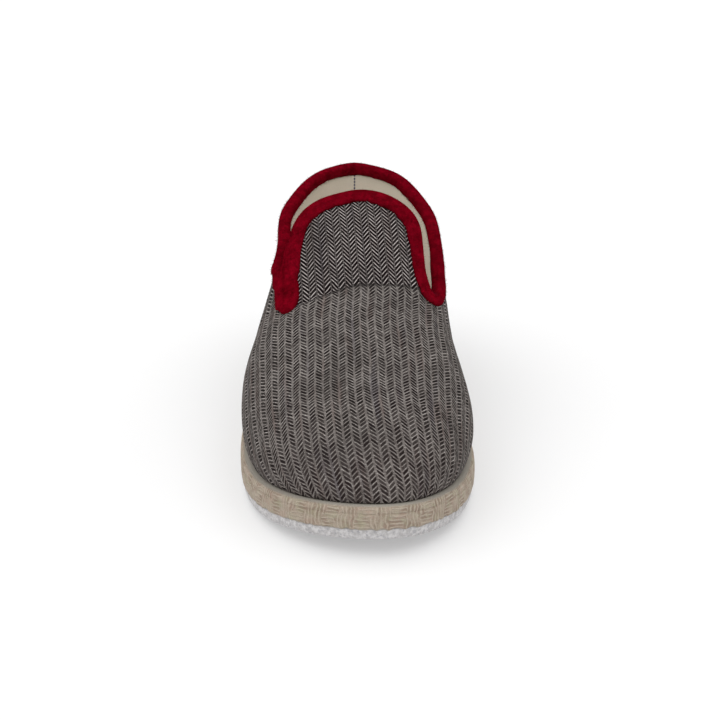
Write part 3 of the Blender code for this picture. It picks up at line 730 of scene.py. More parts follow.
def step_in(pattern, flat, distance):
    """Flat points a real distance into the cloth from the opening's edge, by small steps."""
    moved = np.array(flat, float)
    for _ in range(TURN_IN_STEPS):
        here = pattern.solid(moved)
        along = (pattern.solid(moved - (PROBE, 0)) - here) / -PROBE
        across = (pattern.solid(moved + (0, PROBE)) - here) / PROBE
        before = np.vstack([moved[:1], moved[:-1]])
        after = np.vstack([moved[1:], moved[-1:]])
        track = after - before
        track[[0, -1], 1] = 0
        tangent = along * track[:, :1] + across * track[:, 1:]
        normal = np.cross(along, across)
        inward = np.cross(normal, tangent)
        inward /= np.linalg.norm(inward, axis=1)[:, None]
        grid = np.stack([along, across], 2)
        shift = np.array([np.linalg.lstsq(g, d, rcond=None)[0] for g, d in zip(grid, inward)])
        shift[[0, -1], 0] = 0
        moved = moved + shift * distance[:, None] / TURN_IN_STEPS
        moved[0, 1] = -moved[-1, 1]
    return moved


def feather_line(pattern, side):
    """Flat points down one side where the upper meets the sole, closer together round the toe."""
    last = pattern.last
    dense = np.linspace(0, 1, FEATHER_SAMPLES)
    run = run_along(last.half_section(dense, side)[:, -1])
    toe = np.interp(pattern.roll(pattern.run_at(TOE_SHARE)), dense, run)
    near = np.linspace(0, toe, int(round(toe / TOE_SPACING)) + 1)
    rest = np.linspace(toe, run[-1], int(round((run[-1] - toe) / SKIN_SPACING)) + 1)
    rolls = np.interp(np.concatenate([near, rest[1:]]), run, dense)
    runs = np.interp(rolls, pattern.rolls, pattern.run)
    return list(zip(runs, side * last.girth(rolls, side)))


def inside(points, polygon):
    """Which flat points lie within a polygon."""
    x, y = np.array(polygon).T
    next_x, next_y = np.roll(x, -1), np.roll(y, -1)
    px, py = np.asarray(points).T[:, :, None]
    cross = (y > py) != (next_y > py)
    with np.errstate(divide="ignore", invalid="ignore"):
        meet = x + (py - y) / (next_y - y) * (next_x - x)
    return np.count_nonzero(cross & (px < meet), axis=1) % 2 == 1


def grid_inside(polygon, spacing):
    """Staggered points that fill a polygon."""
    corners = np.array(polygon)
    low, high = corners.min(axis=0), corners.max(axis=0)
    found = []
    for row, y in enumerate(np.arange(low[1], high[1], spacing * np.sqrt(0.75))):
        found += [(x, y) for x in np.arange(low[0] + spacing * (row % 2) / 2, high[0], spacing)]
    found = np.array(found)
    return found[inside(found, polygon)]


def fill_points(pattern, polygon, fixed):
    """Flat points that fill a polygon of the working sheet, clear of the points it already has."""
    toe = pattern.run_at(TOE_SHARE)
    runs = np.linspace(0, pattern.end, FILL_SAMPLES)[1:-1]
    shares = np.linspace(-1, 1, FILL_SAMPLES)[1:-1]
    girths = pattern.half(runs[:, None], shares) * shares
    flat = np.stack([np.repeat(runs, len(shares)), girths.ravel()], 1)
    sheet = pattern.sheet(flat)
    found = []
    for spacing, low, high in ((TOE_SPACING, 0, toe), (SKIN_SPACING, toe, pattern.end)):
        for point in grid_inside(polygon, spacing):
            if np.hypot(*(fixed - point).T).min() > FILL_CLEAR * spacing:
                pick = int(np.hypot(*(sheet - point).T).argmin())
                if low <= flat[pick, 0] < high:
                    found.append(tuple(flat[pick]))
    return found


def flat_mesh(pattern):
    """Triangles of the flat upper, and which of its points lie on the feather line."""
    edge = opening_edge(pattern, EDGE_SPACING, SLOT_END_STEPS)
    depth = binding_depth(pattern, edge)
    rows = [edge, step_in(pattern, edge, depth * 0.5), step_in(pattern, edge, depth)]
    points = [tuple(p) for row in rows for p in row]
    width = len(edge)
    links = []
    for row in range(3):
        links += [(row * width + i, row * width + i + 1) for i in range(width - 1)]
    for row in range(2):
        links += [(row * width + i, (row + 1) * width + i) for i in range(width)]
    feather = {side: feather_line(pattern, side) for side in (-1, 1)}
    girth_in = abs(rows[2][-1][1])
    girth_low = abs(feather[1][-1][1])
    steps = int(round((girth_low - girth_in) / SKIN_SPACING))
    seam = np.linspace(girth_in, girth_low, steps + 1)[1:-1]
    first = len(points)
    points += [(pattern.end, g) for g in seam] + feather[1][::-1] + feather[-1][1:]
    points += [(pattern.end, -g) for g in seam[::-1]]
    low = first + len(seam)
    feather_set = set(range(low, low + len(feather[1]) + len(feather[-1]) - 1))
    around = [3 * width - 1] + list(range(first, len(points))) + [2 * width]
    links += list(zip(around[:-1], around[1:]))
    sheet = pattern.sheet(points)
    border = list(range(width)) + [2 * width - 1] + around + [width]
    polygon = sheet[border]
    points += fill_points(pattern, polygon, sheet)
    sheet = pattern.sheet(points)
    result = delaunay_2d_cdt([Vector(p) for p in sheet], links, [], 0, SNAP)
    placed = np.array([tuple(p) for p in result[0]])
    source = [found[0] for found in result[3]]
    faces = np.array(result[2])
    keep = inside(placed[faces].mean(axis=1), polygon)
    triangles = [tuple(source[i] for i in f) for f in faces[keep]]
    return np.array(points), triangles, feather_set


def refine(pattern, flat, triangles, feather):
    """Cut each triangle in four; new points on the feather line stay on it."""
    flat = [tuple(p) for p in flat]
    feather = set(feather)
    counts = {}
    for f in triangles:
        for a, b in zip(f, f[1:] + f[:1]):
            key = (min(a, b), max(a, b))
            counts[key] = counts.get(key, 0) + 1
    middles = {}
    for (a, b), count in counts.items():
        run, girth = (np.array(flat[a]) + flat[b]) / 2
        middles[(a, b)] = len(flat)
        if count == 1 and a in feather and b in feather:
            side = 1 if girth > 0 else -1
            girth = side * float(pattern.width(run, side))
            feather.add(len(flat))
        flat.append((run, girth))
    cut = []
    for a, b, c in triangles:
        ab, bc, ca = (middles[(min(i, j), max(i, j))] for i, j in ((a, b), (b, c), (c, a)))
        cut += [(a, ab, ca), (ab, b, bc), (ca, bc, c), (ab, bc, ca)]
    return np.array(flat), cut, feather


def vertex_normals(vertices, triangles):
    """Area-weighted unit normals."""
    normals = np.zeros_like(vertices)
    corners = vertices[np.array(triangles)]
    face = np.cross(corners[:, 1] - corners[:, 0], corners[:, 2] - corners[:, 0])
    for corner in range(3):
        np.add.at(normals, np.array(triangles)[:, corner], face)
    return normals / np.linalg.norm(normals, axis=1)[:, None]


def border_links(triangles):
    """Edges that belong to one triangle only, in that triangle's order."""
    seen = {}
    for f in triangles:
        for a, b in zip(f, f[1:] + f[:1]):
            seen[(a, b)] = True
    return [(a, b) for a, b in seen if (b, a) not in seen]


def noise_at(points, size, seed=0.0):
    """Smooth noise from -1 to 1 at many points."""
    return np.array([noise.noise(Vector(p) / size + Vector((seed, seed, seed))) for p in points])


def arched(points):
    """Small changes of height along the heel's top edge, which stands a little peaked."""
    across, along, up = points.T
    high = smooth((up - HEEL_WAVES_LOW) / HEEL_WAVES_RISE)
    high = high * smooth((along - HEEL_WAVES_FRONT) / HEEL_WAVES_EASE)
    wave = sum(height * np.exp(-((across - middle) / width) ** 2) for height, middle, width in HEEL_WAVES)
    return points + np.stack([0 * high, 0 * high, high * wave], 1)


def relief(pattern, flat, solid):
    """How far the cloth stands off the last: the tongue's crease, unevenness and the back seam."""
    run, girth = flat.T
    crease = smooth_path(CREASE)
    centre = np.interp(girth, crease[:, 1], crease[:, 0])
    fade = smooth((girth - CREASE[0][1]) / CREASE_FADE) * smooth((CREASE[-1][1] - girth) / CREASE_FADE)
    off = (run - centre) / CREASE_WIDTH
    bulge = BULGE_HEIGHT * np.exp(-((off - BULGE_PLACE) / BULGE_WIDTH) ** 2)
    lift = CREASE_DEPTH * (bulge - np.exp(-off * off)) * fade
    above = pattern.half(run, girth) - abs(girth)
    for height, size, seed, ease in UNEVEN:
        lift += height * noise_at(solid, size, seed) * smooth(above / ease)
    return lift - SEAM_DEPTH * np.exp(-((pattern.end - run) / SEAM_WIDTH) ** 2)


def weave_place(pattern, flat, solid):
    """Places in the weave: over the toe its rows turn about a low hinge, so that columns run on."""
    hinge_y = (HINGE_ALONG - 0.5) * SHOE_LENGTH
    hinge_z = footbed(HINGE_ALONG * SHOE_LENGTH) - HINGE_DROP
    runs = np.linspace(pattern.run_at(0.5), 0, RIDGE_SAMPLES)
    ridge = pattern.solid(np.stack([runs, 0 * runs], 1))
    length = run_along(ridge)

    def polar(points):
        ahead = hinge_y - points[:, 1]
        tall = points[:, 2] - hinge_z
        past = ahead > 0
        return np.where(past, np.arctan2(ahead, tall), ahead), np.where(past, np.hypot(ahead, tall), tall)

    ridge_turn, ridge_reach = polar(ridge)
    ridge_turn = np.maximum.accumulate(ridge_turn)
    turn, reach = polar(solid)
    down = np.interp(turn, ridge_turn, length) - np.interp(0, ridge_turn, length)
    down += np.maximum(turn - ridge_turn[-1], 0) * ridge_reach[-1]
    row = np.where(turn > 0, np.interp(hinge_y, ridge[::-1, 1], runs[::-1]) - down, flat[:, 0])
    aside = abs(solid[:, 0] - np.interp(turn, ridge_turn, ridge[:, 0]))
    fall = np.maximum(np.interp(turn, ridge_turn, ridge_reach) - reach, 0)
    across = np.sign(flat[:, 1]) * (aside ** ARC_POWER + fall ** ARC_POWER) ** (1 / ARC_POWER)
    along = solid[:, 1] / SHOE_LENGTH + 0.5
    share = smooth((TURN_FROM - along) / (TURN_FROM - TURN_TO))
    return np.stack([row, flat[:, 1] + share * (across - flat[:, 1])], 1)


class Skin:
    """Fine outer face of the upper with flat places, normals and relief."""

    def __init__(self, pattern):
        flat, triangles, feather = flat_mesh(pattern)
        for _ in range(REFINE_ROUNDS):
            flat, triangles, feather = refine(pattern, flat, triangles, feather)
        solid = pattern.solid(flat)
        order = {}
        where = []
        kept = []
        for i, vertex in enumerate(solid):
            key = tuple(np.round(vertex / WELD).astype(int))
            if key not in order:
                order[key] = len(kept)
                kept.append(i)
            where.append(order[key])
        faces = [(tuple(where[i] for i in f), f) for f in triangles]
        faces = [pair for pair in faces if len(set(pair[0])) == 3]
        self.triangles = [pair[0] for pair in faces]
        self.corners = [pair[1] for pair in faces]
        self.cloth = weave_place(pattern, flat, solid)
        self.base = arched(solid[kept])
        self.place = flat[kept]
        normals = vertex_normals(self.base, self.triangles)
        middle = self.base - self.base.mean(axis=0)
        middle[:, 1] = 0
        if (normals * middle).sum() < 0:
            self.triangles = [f[::-1] for f in self.triangles]
            self.corners = [f[::-1] for f in self.corners]
            normals = -normals
        self.normals = normals
        self.feather = {where[i] for i in feather}
        self.lift = relief(pattern, self.place, self.base)

    def offset(self, depth):
        """The face moved in along its normals; level along the feather line."""
        level = self.normals * (1, 1, 0)
        size = np.maximum(np.linalg.norm(level, axis=1), TINY)[:, None]
        moved = self.base + self.normals * (self.lift - depth)[:, None]
        low = list(self.feather)
        moved[low] = (self.base - level / size * depth)[low]
        return moved


def new_piece(name, vertices, faces, material, uv, sharp_angle=None):
    """A mesh object with one material and smooth shading; uv has a place for each face corner."""
    mesh = bpy.data.meshes.new(name)
    mesh.from_pydata([tuple(v) for v in vertices], [], [tuple(f) for f in faces])
    mesh.shade_smooth()
    if sharp_angle is not None:
        mesh.set_sharp_from_angle(angle=sharp_angle)
    layer = mesh.uv_layers.new(name="cloth")
    layer.uv.foreach_set("vector", np.asarray(uv, np.float32).ravel())
    mesh.materials.append(material)
    piece = bpy.data.objects.new(name, mesh)
    bpy.context.scene.collection.objects.link(piece)
    return piece


def shell(name, skin, outer, inner, material):
    """A layer of the upper between two depths below its outer face, closed round its edges."""
    top = skin.offset(outer)
    low = skin.offset(inner)
    count = len(top)
    faces = list(skin.triangles)
    uv = [skin.cloth[i] for f in skin.corners for i in f]
    faces += [tuple(i + count for i in f[::-1]) for f in skin.triangles]
    uv += [skin.cloth[i] for f in skin.corners for i in f[::-1]]
    for a, b in border_links(skin.triangles):
        faces.append((b, a, a + count, b + count))
        uv += [skin.place[b], skin.place[a], skin.place[a], skin.place[b]]
    return new_piece(name, np.concatenate([top, low]), faces, material, uv)


def ring_faces(rings, around, closed=False):
    """Four-sided faces between rings of points; the last ring joins the first where closed."""
    faces = []
    for i in range(rings if closed else rings - 1):
        low, high = i * around, (i + 1) % rings * around
        for k in range(around):
            n = (k + 1) % around
            faces.append((low + k, low + n, high + n, high + k))
    return faces


def ring_marks(rings, around):
    """The ring's value and the value round it, at each corner of the same faces."""
    return [(rings[i + a], around[k + b]) for i in range(len(rings) - 1) for k in range(len(around) - 1)
            for a, b in ((0, 0), (0, 1), (1, 1), (1, 0))]


def slot_closing(pattern, edge):
    """How much the felt swells shut beside the lateral slot, from 0 to 1, at points of the edge."""
    foot, middle = slot_middle(pattern, -1)
    beside = smooth(1 - (abs(edge[:, 1] - middle) - SLOT_WIDTH) / (1.5 * SLOT_WIDTH))
    return beside * smooth(1 - (edge[:, 0] - foot - CLOSING_RUN) / CLOSING_EASE)


def felt_lap(edge):
    """Where the strip's end laps over its start, from 0 to 1, at points of the edge."""
    along = (edge[:, 0] - LAP_RUN) / LAP_LENGTH
    return smooth((1 - along) / LAP_EASE) * smooth((1 + along) / LAP_EASE)


def rounded_end(pattern, flat, share):
    """Rows of the felt drawn out below each slot, so that its end is a long round lump."""
    moved = flat.copy()
    for side, stretch, narrow in ROUNDED_ENDS:
        off = flat - slot_middle(pattern, side)
        mine = (off[:, 0] < 0) & (flat[:, 1] * side > 0)
        moved[:, 0] += share * stretch * np.where(mine, off[:, 0], 0)
        outer = (mine & (off[:, 1] * side > 0)) * smooth(-off[:, 0] / ROUNDED_EASE)
        moved[:, 1] += outer * (narrow - 1) * share * off[:, 1]
    return moved


def felt_lump(pattern):
    """Closed rounded pad over the lower end of the lateral slot, folded on its top."""
    rows = smooth_path(LUMP, 5)
    rows[:, 2:] = np.maximum(rows[:, 2:], LUMP_LEAST)
    turns = np.linspace(0, TURN, LUMP_AROUND, endpoint=False)
    across, up = np.cos(turns), np.sin(turns)
    fold = sum(depth * np.exp(-((across - place) / width) ** 2) for place, width, depth in LUMP_FOLDS)
    fold = np.where(up > 0, fold, 0)
    dome = np.where(up > 0, abs(up) ** LUMP_POWER, 0)
    seat = CLEARANCE - LUMP_SINK * (up < 0)
    vertices = []
    marks = []
    for run, centre, half, height in rows:
        shallow = fold * smooth((run - FOLD_RUN) / FOLD_EASE)
        stand = seat + dome * height * (1 - FOLD_DEPTH * shallow)
        flat = np.stack([np.full(LUMP_AROUND, run), centre + half * across], 1)
        vertices += list(pattern.solid(flat) + pattern.outward(flat) * stand[:, None])
        # The marks carry the folds' depth to the felt, which paints shade into them
        marks += [(0, FOLD_SHADE_MARK + depth) for depth in shallow]
    faces = ring_faces(len(rows), LUMP_AROUND)
    last = (len(rows) - 1) * LUMP_AROUND
    faces += [tuple(range(LUMP_AROUND))[::-1], tuple(range(last, last + LUMP_AROUND))]
    return vertices, faces, [marks[k] for f in faces for k in f]


def felt_hairs(felt, count):
    """Loose fibres that stand off the felt, each a thin tapered thread."""
    vertices = []
    faces = []
    for _ in range(HAIRS):
        i = random.randrange(count)
        k = random.choice(HAIR_PLACES)
        ring = felt[i * FELT_AROUND:(i + 1) * FELT_AROUND]
        root = ring[k]
        beside = felt[((i + 1) % count) * FELT_AROUND + k] - root
        climb = ring[(k + 1) % FELT_AROUND] - ring[(k - 1) % FELT_AROUND]
        out = np.cross(climb, beside)
        out, beside, climb = (way / max(np.linalg.norm(way), TINY) for way in (out, beside, climb))
        if np.dot(out, root - ring.mean(axis=0)) < 0:
            out = -out
        length = random.uniform(*HAIR_LENGTH) * (LONG_HAIR if random.random() < LONG_HAIRS else 1)
        lean = sum(way * random.uniform(*reach) for way, reach in zip((out, beside, climb), HAIR_LEAN))
        bend = HAIR_BEND * np.array([random.uniform(-1, 1) for _ in range(3)])
        thick = random.uniform(*HAIR_THICK)
        root = root - out * HAIR_ROOT
        first = len(vertices)
        for step, size in HAIR_TAPER:
            spot = root + length * (lean * step + bend * step * step)
            for turn in range(3):
                angle = turn * TURN / 3
                vertices.append(spot + thick * size * (beside * math.cos(angle) + climb * math.sin(angle)))
        vertices.append(root + length * (lean + bend))
        for k in range(3):
            n = (k + 1) % 3
            faces.append((first + k, first + n, first + 3 + n, first + 3 + k))
            faces.append((first + 3 + k, first + 3 + n, first + 6))
        faces.append((first + 2, first + 1, first))
    # Each hair is marked, so that the felt paints it paler as a painted sheen
    return vertices, faces, [(HAIR_MARK, 0)] * sum(len(f) for f in faces)


def felt_rows(pattern, edge, depth):
    """Surface points and outward normals in rows from the opening's edge onto the cloth."""
    shares = np.linspace(0, FELT_REACH, FELT_ROWS)[1:]
    rows = [edge] + [rounded_end(pattern, step_in(pattern, edge, depth * s), s) for s in shares]
    return (np.stack([arched(pattern.solid(row)) for row in rows]),
            np.stack([pattern.outward(row) for row in rows]))


def felt_section():
    """Even points round the felt's section, and the girth distance from point to point."""
    section = smooth_path(FELT + FELT[:1], 6)[:-1]
    girth = run_along(section * (BINDING_WIDTH, BINDING_THICK, BINDING_THICK, WALL))
    even = np.linspace(0, girth[-1], FELT_AROUND + 1)
    return read_rows(even[:-1], girth, section), even


def wave(run, height, length, seed):
    """Smooth noise along a line."""
    return height * noise.noise(Vector((run / length, seed, 0)))


def felt_binding(pattern, material):
    """Puffed felt strip folded over the opening's edge, closed in a loop at the heel seam."""
    edge = opening_edge(pattern, FELT_SPACING, 4 * SLOT_END_STEPS)
    foot, middle = slot_middle(pattern, -1)
    quarter = edge[:, 1] < middle
    near = smooth(1 - (edge[:, 0] - foot - NARROW_RUN) / NARROW_EASE) * (edge[:, 1] < 0)
    depth = binding_depth(pattern, edge) * (1 - near * np.where(quarter, *NARROWING))
    places, outs = felt_rows(pattern, edge, depth)
    away = places[0] - places[1]
    away /= np.linalg.norm(away, axis=1)[:, None]
    section, girth = felt_section()
    run = run_along(places[0])
    close = slot_closing(pattern, edge)
    thin = 1 - THINNING * close * quarter
    lap = LAP_THICK * felt_lap(edge) * quarter
    count = len(edge) - 1
    vertices = []
    for i in range(count):
        torn = sum(wave(run[i], *tear) for tear in TEARS) * (1 - CALM * close[i])
        uneven = 1 + wave(run[i], *WANDER) + torn
        puff = (1 + wave(run[i], *PUFFS)) * thin[i]
        for back, over, lift, sink in section:
            share = np.clip(back, 0, FELT_REACH) * uneven
            at = min(share / FELT_REACH * (FELT_ROWS - 1), FELT_ROWS - 1.0001)
            low = int(at)
            t = at - low
            place, out = (rows[low, i] * (1 - t) + rows[low + 1, i] * t for rows in (places, outs))
            rise = BINDING_THICK * (lift * puff + max(lift, 0) * lap[i])
            rise += CLEARANCE * (1 - 2 * sink) - sink * WALL
            reach = max(over, 0) * BINDING_THICK * (1 + SWELLING * close[i])
            vertices.append(place + out * rise + away[i] * reach)
    faces = ring_faces(count, FELT_AROUND, closed=True)
    uv = ring_marks(run, girth)
    for spots, sides, marks in (felt_lump(pattern), felt_hairs(np.array(vertices), count)):
        faces += [tuple(k + len(vertices) for k in f) for f in sides]
        uv += marks
        vertices += list(spots)
    return new_piece("felt_binding", vertices, faces, material, uv)


def sole_layer(name, side, rows, round_by, start, bottom, top, material, ragged=0.0):
    """A sole layer: rings up its side from its own inset, capped by crosswise strips."""
    shares = np.linspace(0, 1, rows)
    insets = start + np.interp(shares, *np.array(side).T) * round_by
    rolls = np.linspace(0, 1, SOLE_STATIONS + 1)
    rings = []
    for share, inset in zip(shares, insets):
        rim = Rim(inset)
        along = rim.station(rolls)
        height = bottom(along) + share * (top(along) - bottom(along))
        medial, lateral = (to_frame(rim.across(rolls, edge), along, height) for edge in (1, -1))
        ring = np.concatenate([medial, lateral[-2:0:-1]])
        if ragged:
            ease = smooth(1 - share / RAGGED_SHARE)
            ring[:, 2] -= ragged * ease * (0.5 + noise_at(ring * (1, 1, 0), RAGGED_SIZE))
        rings.append(ring)
    rings = np.array(rings)
    count = 2 * SOLE_STATIONS
    middle = rings[rows // 2]
    run = run_along(np.concatenate([middle, middle[:1]]))
    climb = np.linalg.norm(np.diff(rings, axis=0), axis=2).mean(axis=1)
    faces = ring_faces(rows, count)
    uv = [(across, up) for up, across in ring_marks(np.concatenate([[0], np.cumsum(climb)]), -run)]
    flat = rings.reshape(-1, 3)
    for first, turn in ((0, 1), ((rows - 1) * count, -1)):
        for i in range(SOLE_STATIONS):
            left = [first + i, first + i + 1]
            right = [first + (count - i - 1) % count, first + (count - i) % count]
            corners = list(dict.fromkeys(left + right))[::-turn]
            faces.append(tuple(corners))
            uv += [(flat[c, 0], flat[c, 1] + 1) for c in corners]
    return new_piece(name, flat, faces, material, uv, SHARP_ANGLE)


# Materials

# Colours in linear light; pairs are the two ends of a mix
YARN_DIM = ((0.23, 0.203, 0.187), (0.46, 0.402, 0.383))
YARN_PALE = ((0.46, 0.417, 0.388), (0.86, 0.775, 0.745))
YARN_DARK = ((0.002, 0.001, 0.001), (0.010, 0.007, 0.007))
# Dark of rubbed cloth and of the painted shade at the toe, browner at the toe
YARN_WORN_AND_SHADED = ((0.078, 0.056, 0.053), (0.078, 0.069, 0.063))
DARK_FIBRE = (0.11, 0.09, 0.085)
DARK_SPECK = (0.05, 0.045, 0.045)
PALE_SPECK = (0.74, 0.69, 0.65)
BROWN_TINGE = (0.22, 0.14, 0.12)
BLUE_TINGE = (0.13, 0.12, 0.17)
CREASE_SHADE = (0.006, 0.005, 0.005)
CLOUD_SHADE = (0.020, 0.017, 0.016)
LINING_CREAMS = ((0.74, 0.67, 0.56), (0.86, 0.79, 0.67))
LINING_NAP = (0.46, 0.41, 0.32)
STITCH_BLUE = (0.030, 0.035, 0.09)
FELT_REDS = ((0.095, 0.0006, 0.004), (0.225, 0.0014, 0.010))
FELT_FIBRE = (0.055, 0.0006, 0.003)
FELT_BRIGHT = (0.30, 0.003, 0.016)
# Dark tufts of the felt, also used for the painted shade in the lump's folds
FELT_DARK_AND_FOLD_SHADE = (0.050, 0.0004, 0.002)
# Hairs painted paler than the felt, a painted sheen along the binding's fuzzy edge
HAIR_SHEEN_RED = (0.26, 0.012, 0.030)
BAND_BEIGES = ((0.43, 0.355, 0.275), (0.56, 0.49, 0.405))
# Painted shade in the band's hollows between its ribs
BAND_HOLLOW_SHADE = (0.20, 0.135, 0.095)
BAND_FIBRE = (0.22, 0.165, 0.12)
BAND_ROSE = (0.44, 0.31, 0.25)
BAND_OLIVE = (0.40, 0.39, 0.26)
BAND_LEDGE = (0.30, 0.29, 0.26)
RUBBER_GREYS = ((0.41, 0.395, 0.395), (0.60, 0.585, 0.585))
RUBBER_SPECK = (0.26, 0.26, 0.29)
FLOOR_GREYS = ((0.66, 0.66, 0.66), (0.67, 0.67, 0.67))


class Value:
    """A node's output that plain arithmetic works on."""

    def __init__(self, nodes, socket):
        self.nodes = nodes
        self.socket = socket

    def __add__(self, other):
        return self.nodes.math("ADD", self, other)

    def __sub__(self, other):
        return self.nodes.math("SUBTRACT", self, other)

    def __rsub__(self, other):
        return self.nodes.math("SUBTRACT", other, self)

    def __mul__(self, other):
        return self.nodes.math("MULTIPLY", self, other)

    def __truediv__(self, other):
        return self.nodes.math("DIVIDE", self, other)

    def __abs__(self):
        return self.nodes.math("ABSOLUTE", self)

    def floor(self):
        return self.nodes.math("FLOOR", self)


class Nodes:
    """Small helper that wires a material's nodes."""

    def __init__(self, name, roughness, sheen, sheen_rough, specular):
        self.material = bpy.data.materials.new(name)
        self.material.use_nodes = True
        self.tree = self.material.node_tree
        self.shader = self.tree.nodes["Principled BSDF"]
        for socket, value in (("Roughness", roughness), ("Sheen Weight", sheen),
                              ("Sheen Roughness", sheen_rough), ("Specular IOR Level", specular)):
            self.shader.inputs[socket].default_value = value

    def put(self, socket, value):
        """Link or set one input; a colour is given without its alpha."""
        if isinstance(value, Value):
            self.tree.links.new(value.socket, socket)
        else:
            socket.default_value = (*value, 1) if isinstance(value, tuple) else value

    def wire(self, node, values):
        """Feed a node's inputs in order and give its output."""
        for socket, value in zip([s for s in node.inputs if s.enabled], values):
            self.put(socket, value)
        return Value(self, [s for s in node.outputs if s.enabled][0])

    def math(self, kind, *values):
        node = self.tree.nodes.new("ShaderNodeMath")
        node.operation = kind
        return self.wire(node, values)

    def larger(self, a, b):
        return self.math("MAXIMUM", a, b)

    def uv(self):
        """The piece's cloth places, whole and as two numbers."""
        node = self.tree.nodes.new("ShaderNodeUVMap")
        node.uv_map = "cloth"
        place = Value(self, node.outputs[0])
        split = self.tree.nodes.new("ShaderNodeSeparateXYZ")
        self.put(split.inputs[0], place)
        return place, Value(self, split.outputs[0]), Value(self, split.outputs[1])

    def place(self):
        """Place on the piece itself."""
        return Value(self, self.tree.nodes.new("ShaderNodeTexCoord").outputs["Object"])

    def join(self, *parts):
        return self.wire(self.tree.nodes.new("ShaderNodeCombineXYZ"), parts)

    def noise(self, place, scale, detail=2.0, rough=0.5, distortion=0.0):
        node = self.tree.nodes.new("ShaderNodeTexNoise")
        for socket, value in (("Vector", place), ("Scale", scale), ("Detail", detail),
                              ("Roughness", rough), ("Distortion", distortion)):
            self.put(node.inputs[socket], value)
        return Value(self, node.outputs["Fac"])

    def random(self, place):
        node = self.tree.nodes.new("ShaderNodeTexWhiteNoise")
        node.noise_dimensions = "3D"
        self.put(node.inputs["Vector"], place)
        return Value(self, node.outputs["Value"])

    def range(self, value, low, high, to_low=0.0, to_high=1.0):
        """Ease from one number to another while the value goes from low to high."""
        node = self.tree.nodes.new("ShaderNodeMapRange")
        node.interpolation_type = "SMOOTHSTEP"
        return self.wire(node, (value, low, high, to_low, to_high))

    def mix(self, share, a, b):
        node = self.tree.nodes.new("ShaderNodeMix")
        node.data_type = "RGBA"
        return self.wire(node, (share, a, b))

    def stains(self, colour, *stains):
        """Lay colours over another, each where its own value goes from low to high."""
        for value, low, high, share, over in stains:
            colour = self.mix(self.range(value, low, high, 0.0, share), colour, over)
        return colour

    def bump(self, height, distance, strength):
        node = self.tree.nodes.new("ShaderNodeBump")
        for socket, value in (("Distance", distance), ("Strength", strength), ("Height", height)):
            self.put(node.inputs[socket], value)
        return Value(self, node.outputs[0])

    def finish(self, colour, normal=None):
        self.put(self.shader.inputs["Base Color"], colour)
        if normal is not None:
            self.put(self.shader.inputs["Normal"], normal)
        return self.material


